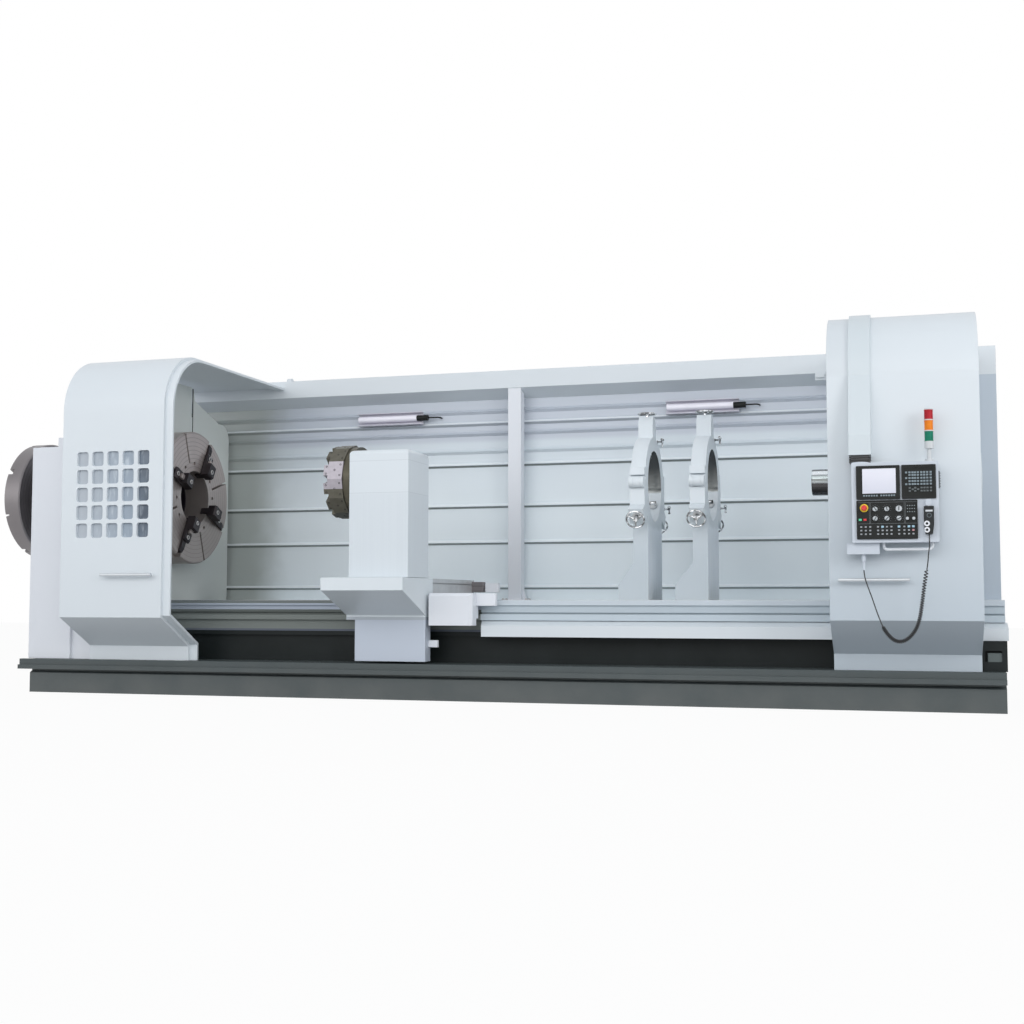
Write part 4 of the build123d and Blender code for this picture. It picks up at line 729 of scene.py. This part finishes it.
cursor_keys = [(3.4105, 1.572), (3.4105, 1.551), (3.430, 1.562)]
cursor_keys += [(3.4465, 1.572), (3.4465, 1.551), (3.4655, 1.562)]
cursor_keys += [(along, up) for up in (1.572, 1.551) for along in key_columns[4:]]
keys("cursor_keys", dim_grey, (0.0145, 0.0115), cursor_keys)
groups = ((3.084, 3.114, 3.144), (3.196, 3.226, 3.255, 3.285), (3.335, 3.370, 3.400, 3.429))
button_places = [(along, up) for up in (1.308, 1.283, 1.258) for group in groups for along in group]
pale_key = moulded("pale_key", (0.34, 0.36, 0.38))
blue_key = moulded("blue_key", (0.36, 0.55, 0.66))
rose_key = moulded("rose_key", (0.55, 0.27, 0.30))
blue_places = [(3.226, 1.308), (3.335, 1.308), (3.400, 1.308), (3.429, 1.308)]
rose_places = [(3.429, 1.283)]
plain_places = [place for place in button_places if place not in blue_places + rose_places]
keys("panel_buttons", pale_key, (0.013, 0.010), plain_places)
keys("blue_buttons", blue_key, (0.017, 0.014), blue_places)
keys("rose_button", rose_key, (0.015, 0.012), rose_places)
lamp_places = [(3.393 + 0.0152 * step, up) for up in (1.451, 1.430, 1.409) for step in range(4)]
keys("small_lamps", moulded("lamp_grey", (0.26, 0.30, 0.31)), (0.007, 0.006), lamp_places)
green = moulded("green_button", (0.10, 0.62, 0.36))
keys("start_button", green, (0.019, 0.014), [(3.078, 1.358)])
red_button = moulded("red_button", (0.66, 0.035, 0.035), 0.28)
keys("halt_button", red_button, (0.020, 0.014), [(3.110, 1.358)])
dress(red_button, "emergency_stop")
panel_line = moulded("panel_line", (0.15, 0.165, 0.17))
frame_lines = Shape()
for low, high in (
    ((3.064, 1.476), (3.452, 1.478)),
    ((3.064, 1.329), (3.452, 1.331)),
    ((3.138, 1.331), (3.140, 1.476)),
    ((3.146, 1.331), (3.148, 1.476)),
    ((3.370, 1.331), (3.372, 1.476)),
    ((3.378, 1.331), (3.380, 1.476)),
):
    frame_lines.slab((low[0], panel_face - 0.0008, low[1]), (high[0], panel_face + 0.001, high[1]))
frame_lines.piece("panel_lines", "control", panel_line, 0.0002)
yellow = moulded("yellow_ring", (0.86, 0.62, 0.03))
stop_low, stop_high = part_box("emergency_stop")
stop_middle = (stop_low + stop_high) / 2
ring = Shape()
ring.turned(
    (stop_middle.x, panel_face + 0.001, stop_middle.z),
    (0, -1, 0),
    [(0, 0.028), (0.004, 0.028), (0.006, 0.026), (0.006, 0.022)],
)
ring.piece("stop_ring", "control", yellow, 0.0005)
knob_grey = moulded("knob_grey", (0.52, 0.55, 0.57))
dress(knob_grey, "selector_knobs")
knob_places = [(along, up) for up in (1.433, 1.364) for along in (3.179, 3.257, 3.336)]
mark_reach = 0.027
half_mark = 0.0016
knob_marks = Shape()
for along, up in knob_places:
    for mark in range(9):
        angle = math.radians(-30 + 30 * mark)
        mark_x = along + mark_reach * math.cos(angle)
        mark_z = up + mark_reach * math.sin(angle)
        knob_marks.slab(
            (mark_x - half_mark, panel_face - 0.0008, mark_z - half_mark),
            (mark_x + half_mark, panel_face + 0.001, mark_z + half_mark),
        )
knob_marks.piece("knob_marks", "control", panel_line, 0.0003)
pointers = Shape()
for number, (along, up) in enumerate(knob_places):
    tilt = Matrix.Rotation(math.radians(-35 + 20 * number), 4, "Y")
    knob_front = Matrix.Translation((along, panel_face - 0.016, up))
    pointers.slab((-0.0035, -0.004, -0.014), (0.0035, 0.002, 0.014), knob_front @ tilt)
pointers.piece("knob_pointers", "control", dim_grey, 0.001)
connector = Shape()
box_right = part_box("control_box")[1].x
connector.slab((box_right - 0.002, -1.285, 1.572), (box_right + 0.010, -1.235, 1.690))
for step in range(6):
    rib_z = 1.582 + 0.018 * step
    connector.slab((box_right + 0.004, -1.280, rib_z), (box_right + 0.014, -1.240, rib_z + 0.006))
connector.piece("side_connector", "control", dim_grey, 0.001)
handle_white = enamel("handle_enamel", (0.77, 0.80, 0.83), 0.25)
dress(handle_white, "panel_handle")

# The hand pendant: a moulded black case hung on a hook, with a dial near its top and two handwheel
# rings of white plastic on its front.
pendant_low, pendant_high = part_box("pendant")
pendant_x = (pendant_low.x + pendant_high.x) / 2
pendant_finish = Finish("pendant_case", Specular_IOR_Level=0.3)
case_across, case_up = pendant_finish.axis("X"), pendant_finish.axis("Z")
case_clouds = pendant_finish.cloud(0.02, 3)
case_colour = pendant_finish.blend(case_clouds, (0.006, 0.007, 0.008), (0.018, 0.020, 0.022))
ring_blur = 0.0008
for ring_x, ring_z, inner, outer, shade in (
    (pendant_x - 0.014, 1.324, 0.0095, 0.0185, (0.80, 0.81, 0.84)),
    (pendant_x - 0.014, 1.281, 0.0095, 0.0185, (0.80, 0.81, 0.84)),
    (pendant_x + 0.002, 1.380, 0.0120, 0.0160, (0.10, 0.12, 0.13)),
):
    reach = ((case_across - ring_x) ** 2 + (case_up - ring_z) ** 2) ** 0.5
    inside = 1 - pendant_finish.step(reach, outer, outer + ring_blur)
    ring_mask = pendant_finish.step(reach, inner - ring_blur, inner) * inside
    case_colour = pendant_finish.blend(ring_mask, case_colour, shade)
band_across = (case_across > pendant_x - 0.022) * (case_across < pendant_x + 0.024)
band_mask = (case_up > 1.405) * (case_up < 1.417) * band_across
case_colour = pendant_finish.blend(band_mask, case_colour, (0.60, 0.62, 0.64))
pendant_finish.paint(Base_Color=case_colour, Roughness=pendant_finish.cloud(0.01, 2) * 0.2 + 0.35)
pendant_finish.bump(pendant_finish.cloud(0.0015, 2), 0.0002, 0.5)
dress(pendant_finish, "pendant")
hanger = Shape()
hanger.slab((pendant_x - 0.007, panel_face - 0.006, 1.436), (pendant_x + 0.007, panel_face + 0.008, 1.462))
hanger.piece("pendant_hanger", "control", bright_steel, 0.0008)

# The signal tower: three lamp lenses of coloured plastic between pale rings, screwed together on a
# thin white stem that is clipped to the box.
lamp_finish = Finish("signal_lamps", Roughness=0.3, Specular_IOR_Level=0.12, Emission_Strength=0.05)
lamp_up = lamp_finish.axis("Z")
lens_clouds = lamp_finish.cloud(0.03, 3)
lamp_green = lamp_finish.blend(lens_clouds, (0.004, 0.12, 0.075), (0.012, 0.22, 0.13))
lamp_orange = lamp_finish.blend(lens_clouds, (0.66, 0.15, 0.01), (0.86, 0.27, 0.02))
lamp_red = lamp_finish.blend(lens_clouds, (0.30, 0.010, 0.018), (0.48, 0.022, 0.032))
ring_pale = (0.60, 0.62, 0.63)
lamp_colour = lamp_finish.bands(
    lamp_up,
    ring_pale,
    (1.899, lamp_green),
    (1.968, ring_pale),
    (1.975, lamp_orange),
    (2.044, ring_pale),
    (2.051, lamp_red),
    (2.118, ring_pale),
)
lamp_glow = lamp_finish.bands(lamp_up, (0, 0, 0), (1.899, lamp_colour))
lamp_finish.paint(Base_Color=lamp_colour, Emission_Color=lamp_glow)
dress(lamp_finish, "signal_tower")

# The pendant's cord: one rubber cord, plain where it leaves the junction box and enters the pendant,
# and curled between them.
rubber = Finish("black_rubber", Roughness=0.5)
rubber.paint(Base_Color=rubber.blend(rubber.cloud(0.02, 2), (0.012, 0.012, 0.013), (0.03, 0.03, 0.032)))
cord_exit = (3.094, -1.255, 1.012)
cord_y = -1.359
lead_points = [
    cord_exit,
    (3.098, -1.261, 0.964),
    (3.114, -1.277, 0.912),
    (3.134, -1.293, 0.856),
    (3.154, -1.311, 0.798),
    (3.172, -1.329, 0.740),
    (3.192, cord_y, 0.684),
    (3.212, cord_y, 0.628),
]
curl_points = [
    (3.245, cord_y, 0.572),
    (3.292, cord_y, 0.524),
    (3.352, cord_y, 0.520),
    (3.402, cord_y, 0.560),
    (3.438, cord_y, 0.612),
    (3.458, cord_y, 0.672),
    (3.470, cord_y, 0.738),
    (3.480, cord_y, 0.806),
    (3.489, cord_y, 0.876),
    (3.500, cord_y, 0.946),
    (3.512, cord_y, 1.012),
]
tail_points = [
    (3.520, cord_y, 1.064),
    (3.524, cord_y, 1.116),
    (3.532, cord_y, 1.166),
    (3.532, cord_y - 0.002, 1.212),
    (3.532, cord_y, 1.253),
]
cord_diameter = 0.008
curl_radius = 0.0108
curl_pitch = 0.0140
curl_steps = 14
curl_slack = 0.38


def smooth_curve(name, points, thickness, resolution):
    """An open NURBS spline through the pull of its points."""
    curve = bpy.data.curves.new(name, "CURVE")
    curve.dimensions = "3D"
    curve.resolution_u = resolution
    curve.bevel_depth = thickness
    curve.bevel_resolution = 3
    spline = curve.splines.new("NURBS")
    spline.points.add(len(points) - 1)
    for point, place in zip(spline.points, points):
        point.co = (*place, 1)
    spline.use_endpoint_u = True
    spline.order_u = 3
    made = bpy.data.objects.new(name, curve)
    bpy.context.scene.collection.objects.link(made)
    return made


def line_of(route):
    """The points down the middle of a curve, read from the curve itself."""
    mesh = bpy.data.meshes.new_from_object(route)
    line = [vertex.co.copy() for vertex in mesh.vertices]
    bpy.data.meshes.remove(mesh)
    return line


def at_distance(line, distance):
    """The point and the direction that far along a line of points."""
    for first, second in zip(line, line[1:]):
        span = (second - first).length
        if distance <= span or second is line[-1]:
            return first.lerp(second, min(1, distance / span)), (second - first).normalized()
        distance -= span


cord_route = smooth_curve("cord_route", lead_points + curl_points + tail_points, 0, 24)
route_line = line_of(cord_route)
bpy.data.objects.remove(cord_route)


def distance_to(line, place):
    """How far along a line it comes nearest to a place."""
    travelled, best = 0, (1e9, 0)
    for first, second in zip(line, line[1:]):
        best = min(best, ((first - Vector(place)).length, travelled))
        travelled += (second - first).length
    return best[1]


curl_start = distance_to(route_line, lead_points[-1])
curl_end = distance_to(route_line, curl_points[-1])
curl_turns = round((curl_end - curl_start) / curl_pitch)
curl_line = []
for step in range(curl_turns * curl_steps + 1):
    share = step / (curl_turns * curl_steps)
    middle, ahead = at_distance(route_line, curl_start + share * (curl_end - curl_start))
    side = Vector((0, 1, 0))
    lift = ahead.cross(side).normalized()
    grown = curl_radius * min(1, step / curl_steps, (curl_turns * curl_steps - step) / curl_steps)
    turn = 2 * math.pi * curl_turns * share * (1 + curl_slack - curl_slack * share)
    curl_line.append(tuple(middle + grown * (math.cos(turn) * side + math.sin(turn) * lift)))
cord_points = lead_points[:-1] + curl_line + tail_points
pendant_cord = smooth_curve("pendant_cord", cord_points, cord_diameter / 2, 3)
pendant_cord.data.materials.append(rubber.material)
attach(pendant_cord, "control")
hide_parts("cord_lead", "cord_coil")

# The carriage: a scraped iron saddle on the bed's outer ways, with the painted sheet of the chip
# tray, the apron shield and the feed drive's cover on the operator's side.
ground_steel = Finish("ground_steel", Metallic=0.45)
ground_marks = ground_steel.cloud(1 / 3, 3, ground_steel.stretched((3, 90, 90)))
ground_stains = ground_steel.cloud(0.12, 4)
ground_steel.paint(
    Base_Color=ground_steel.blend(ground_stains, (0.46, 0.47, 0.48), (0.70, 0.71, 0.72)),
    Roughness=ground_marks * 0.3 + 0.2,
)
ground_steel.bump(ground_marks, 0.0003, 0.3)
dress(ground_steel, "saddle", "cross_slide")
tray_finish = sprayed("tray_enamel", 0.36)
tray_face = tray_finish.blend(tray_finish.cloud(0.8, 3), (0.70, 0.75, 0.78), (0.74, 0.785, 0.81))
tray_finish.paint(Base_Color=tray_finish.bands(tray_finish.axis("Z"), (0.46, 0.50, 0.54), (0.668, tray_face)))
dress(tray_finish, "chip_tray")
dress(enamel("apron_enamel", (0.54, 0.59, 0.67), 0.38), "apron_shield")
dress(bright_white, "drive_cover")
soften(soft_edge, "chip_tray", "apron_shield", "drive_cover")
carriage_blocks = Shape()
carriage_blocks.slab((-0.352, 0.455, 0.872), (-0.238, 0.518, 0.965))
carriage_blocks.slab((-0.246, 0.470, 0.905), (-0.218, 0.500, 0.935))
carriage_blocks.piece("way_lock", "carriage", dark_and_shaded_steel, 0.004)
carriage_caps = Shape()
carriage_caps.slab((-0.222, 0.455, 0.872), (-0.101, 0.518, 0.955))
carriage_caps.slab((0.043, -0.615, 0.757), (0.207, -0.560, 0.858))
carriage_caps.slab((-0.350, -0.660, 0.422), (-0.270, -0.622, 0.480))
carriage_caps.piece("carriage_caps", "carriage", bright_white, 0.004)

# The turret: a cast head and a sheet tower that carry the twelve-sided tool disc. The tower is
# finished in two sheets, and the lower one still shows how it was drawn down.
tower_finish = Finish("tower_enamel", IOR=1.5)
tower_up = tower_finish.axis("Z")
drawn_lines = tower_finish.cloud(1, 3, tower_finish.stretched((60, 60, 0.6)))
below_seam = 1 - tower_finish.step(tower_up, 1.63, 1.66)
tower_colour = tower_finish.blend(tower_finish.cloud(0.9, 3), (0.68, 0.73, 0.765), (0.72, 0.765, 0.795))
tower_colour = tower_finish.blend(below_seam * drawn_lines * 0.35, tower_colour, (0.55, 0.60, 0.64))
seam_line = 1 - tower_finish.step(tower_finish.zigzag(tower_up - 1.649, 0.127), 0.001, 0.0035)
near_seams = (tower_up > 1.60) * (tower_up < 1.95)
tower_colour = tower_finish.blend(seam_line * near_seams * 0.3, tower_colour, (0.40, 0.44, 0.47))
tower_finish.paint(Base_Color=tower_colour, Roughness=tower_finish.cloud(0.05, 4) * 0.14 + 0.29)
tower_finish.bump(tower_finish.cloud(0.0035, 2), 0.0004, 0.3)
dress(tower_finish, "turret_tower")
soften(soft_edge, "turret_tower")
turret_axis_y = -0.47
turret_axis_z = 1.80
head_finish = TurnedSteel("bronzed_ring", turret_axis_y, turret_axis_z, 0.6, 0.4)
on_body = head_finish.step(head_finish.axis("X"), -1.006, -1.004)
bronze = head_finish.blend(head_finish.cloud(0.05, 4), (0.062, 0.056, 0.038), (0.115, 0.106, 0.078))
painted = head_finish.blend(head_finish.cloud(0.5, 3), (0.69, 0.735, 0.765), (0.73, 0.775, 0.80))
head_finish.paint(Base_Color=head_finish.blend(on_body, bronze, painted), Metallic=0.6 - on_body * 0.6)
dress(head_finish, "turret_head")
disc_steel = TurnedSteel("oiled_disc_with_painted_reflection", turret_axis_y, turret_axis_z, 0.5, 0.4)
disc_up, disc_across = disc_steel.axis("Z"), disc_steel.axis("Y")
# The front flats are painted bright, as a painted reflection of the bright room in front; the rest of the
# disc is dark oily steel.
front_flat_reflection = (disc_up > turret_axis_z - 0.080) * (disc_up < turret_axis_z + 0.150)
front_flat_reflection = front_flat_reflection * (disc_across < turret_axis_y - 0.25)
oily = disc_steel.blend(disc_steel.cloud(0.05, 5), (0.075, 0.070, 0.050), (0.150, 0.143, 0.115))
reflected_flat = disc_steel.blend(disc_steel.cloud(0.03, 4), (0.36, 0.335, 0.37), (0.50, 0.465, 0.51))
disc_steel.paint(Base_Color=disc_steel.blend(front_flat_reflection, oily, reflected_flat))
dress(disc_steel, "turret_disc")
turret_screws = Shape()
turret_flat = 0.2995
turret_place = Matrix.Translation((0, turret_axis_y, turret_axis_z))
for flat in range(12):
    turn = turret_place @ Matrix.Rotation(math.radians(15 + 30 * flat), 4, "X")
    for along, across in ((-1.094, -0.046), (-1.094, 0.046), (-1.142, 0), (-1.216, -0.030), (-1.216, 0.030)):
        turret_screws.turned(
            (along, turret_flat - 0.002, across),
            (0, 1, 0),
            [(0, 0.0085), (0.0035, 0.0085), (0.0035, 0.005), (0.001, 0.0045)],
            turn,
            12,
        )
turret_screws.piece("turret_screws", "turret", jaw_finish, 0.0003)

# The steady rests: painted iron rings whose sides are ground, three steel quills with rollers at
# their tips, and chromed handwheels on their screws.
chrome = Finish("bright_chrome", Metallic=1.0)
# The chrome's colour steps between dark and bright patches, as painted reflections.
chrome_reflection_clouds = chrome.cloud(0.03, 4)
chrome.paint(
    Base_Color=chrome.blend(chrome.step(chrome_reflection_clouds, 0.38, 0.62), (0.17, 0.175, 0.18), (0.80, 0.82, 0.84)),
    Roughness=chrome_reflection_clouds * 0.15 + 0.06,
)


def steady_enamel(name, right_x):
    """Enamel on the ring, with its bore on top painted dark as painted shade, and a dirty ground side at the
    foot.
    """
    made = Finish(name, IOR=1.5)
    along, across, up = (made.axis(letter) for letter in "XYZ")
    from_axis = (across ** 2 + (up - spindle_z) ** 2) ** 0.5
    in_bore = (1 - made.step(from_axis, 0.2925, 0.2935)) * made.step(up, 1.70, 1.72)
    colour = made.blend(made.cloud(0.5, 3), (0.68, 0.735, 0.77), (0.74, 0.785, 0.815))
    colour = made.blend((1 - made.step(up, 1.0, 1.75)) * 0.85, colour, (0.50, 0.565, 0.61))
    # The bore on top is painted dark grey as painted shade, darker higher up.
    bore_shade_rise = made.step(up + made.cloud(0.1, 4) * 0.12, 1.72, 2.02)
    bore_shade = made.blend(bore_shade_rise, (0.26, 0.275, 0.27), (0.09, 0.095, 0.095))
    colour = made.blend(in_bore, colour, bore_shade)
    streaks = made.cloud(1, 5, made.stretched((1, 28, 3)))
    below_ring = 1 - made.step(up + made.cloud(0.15, 2) * 0.05, 1.395, 1.445)
    on_side = (along > right_x - 0.0015) * below_ring
    foot_dirt = (1 - made.step(up + streaks * 0.2, 0.85, 1.10)) * 0.6
    ground = made.blend(streaks, (0.72, 0.78, 0.84), (0.88, 0.93, 0.97))
    ground = made.blend(foot_dirt, ground, (0.48, 0.51, 0.51))
    colour = made.blend(on_side, colour, ground)
    made.paint(Base_Color=colour, Roughness=0.38 - in_bore * 0.12, Metallic=in_bore * 0.4)
    made.bump(made.cloud(0.0035, 2), 0.0004, 0.35)
    return made


hand_radius = 0.604
rim_radius = 0.0708
rim_bar = 0.0072
screw_length = 0.214
hub_profile = [(0, 0.011), (0.203, 0.011), (0.204, 0.019), (0.217, 0.020), (0.220, 0.017), (0.221, 0.008)]
roller_profile = [(0, 0.013), (0.002, 0.015), (0.042, 0.015), (0.044, 0.013)]
stud_profile = [
    (0, 0.013),
    (0.006, 0.013),
    (0.007, 0.007),
    (0.034, 0.007),
    (0.036, 0.014),
    (0.050, 0.014),
    (0.052, 0.010),
]
grip_profile = [(0, 0.008), (0.020, 0.007), (0.024, 0.010), (0.030, 0.010), (0.033, 0.006)]
for number in (1, 2):
    cap_low, cap_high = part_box(f"steady_{number}_cap")
    steady_finish = steady_enamel(f"steady_enamel_{number}", cap_high.x)
    dress(steady_finish, f"steady_{number}_frame", f"steady_{number}_cap")
    dress(ground_steel, *[f"steady_{number}_quill_{place}" for place in (1, 2, 3)])
    steady_x = (cap_low.x + cap_high.x) / 2
    for place, angle in ((1, 90), (2, 210), (3, 330)):
        turn = Matrix.Translation((steady_x, 0, spindle_z)) @ Matrix.Rotation(math.radians(angle), 4, "X")
        wheel = Shape()
        wheel.hoop((0, hand_radius, 0), (0, 1, 0), rim_radius, rim_bar, turn)
        wheel.turned((0, hand_radius - screw_length, 0), (0, 1, 0), hub_profile, turn)
        for spoke in range(3):
            around = math.radians(90 + 120 * spoke)
            reach = Vector((math.cos(around), 0, math.sin(around)))
            start = Vector((0, hand_radius, 0)) + reach * 0.012
            wheel.turned(start, reach, [(0, 0.0085), (rim_radius - 0.014, 0.006)], turn, 12)
        wheel.piece(
            f"steady_{number}_handwheel_{place}",
            f"steady_{number}_hand_{place}",
            chrome,
            0.0005,
            [f"steady_{number}_wheel_{place}"],
        )
        roller = Shape()
        for side in (-1, 1):
            roller.slab((side * 0.027 - 0.004, 0.236, -0.016), (side * 0.027 + 0.004, 0.262, 0.016), turn)
        roller.turned((-0.022, 0.243, 0), (1, 0, 0), roller_profile, turn, 20)
        arm_body = f"steady_{number}_arm_{place}"
        roller.piece(f"steady_{number}_roller_{place}", arm_body, chrome, 0.0008)
    for body, across, up in ((f"steady_{number}_top", 0.141, 2.126), (f"steady_{number}", 0.450, 1.579)):
        knob = Shape()
        knob.turned((cap_high.x - 0.002, across, up), (1, 0, 0), stud_profile)
        for arm in range(3):
            around = math.radians(30 + 120 * arm)
            reach = Vector((0, math.cos(around), math.sin(around)))
            middle = Vector((cap_high.x + 0.041, across, up)) + reach * 0.008
            knob.turned(middle, reach, grip_profile, sides=14)
        knob.piece(f"{body}_knob", body, chrome, 0.0006)
soften(soft_edge, "steady_1_frame", "steady_1_cap", "steady_2_frame", "steady_2_cap")

# The tailstock: a painted casting clamped on the inner ways. Its quill is hardened steel, ground and
# polished, and slides in the casting's bored barrel.
dress(white, "tailstock_body")
quill_finish = Finish("polished_quill", Metallic=0.75)
quill_up = quill_finish.axis("Z")
quill_clouds = quill_finish.cloud(0.05, 4)
# The quill's colour is light and dark bands along its height, as painted reflections on the polished barrel.
quill_reflection_bands = quill_finish.bands(
    quill_up + quill_clouds * 0.006,
    (0.10, 0.105, 0.11),
    (1.660, (0.05, 0.05, 0.052)),
    (1.700, (0.085, 0.083, 0.086)),
    (1.728, (0.35, 0.38, 0.39)),
    (1.745, (0.17, 0.185, 0.185)),
    (1.765, (0.66, 0.74, 0.74)),
    (1.785, (0.40, 0.44, 0.46)),
    (1.798, (0.88, 0.93, 0.97)),
    (1.828, (0.20, 0.22, 0.23)),
)
quill_finish.paint(Base_Color=quill_reflection_bands, Roughness=quill_clouds * 0.12 + 0.22)
dress(quill_finish, "tailstock_quill")
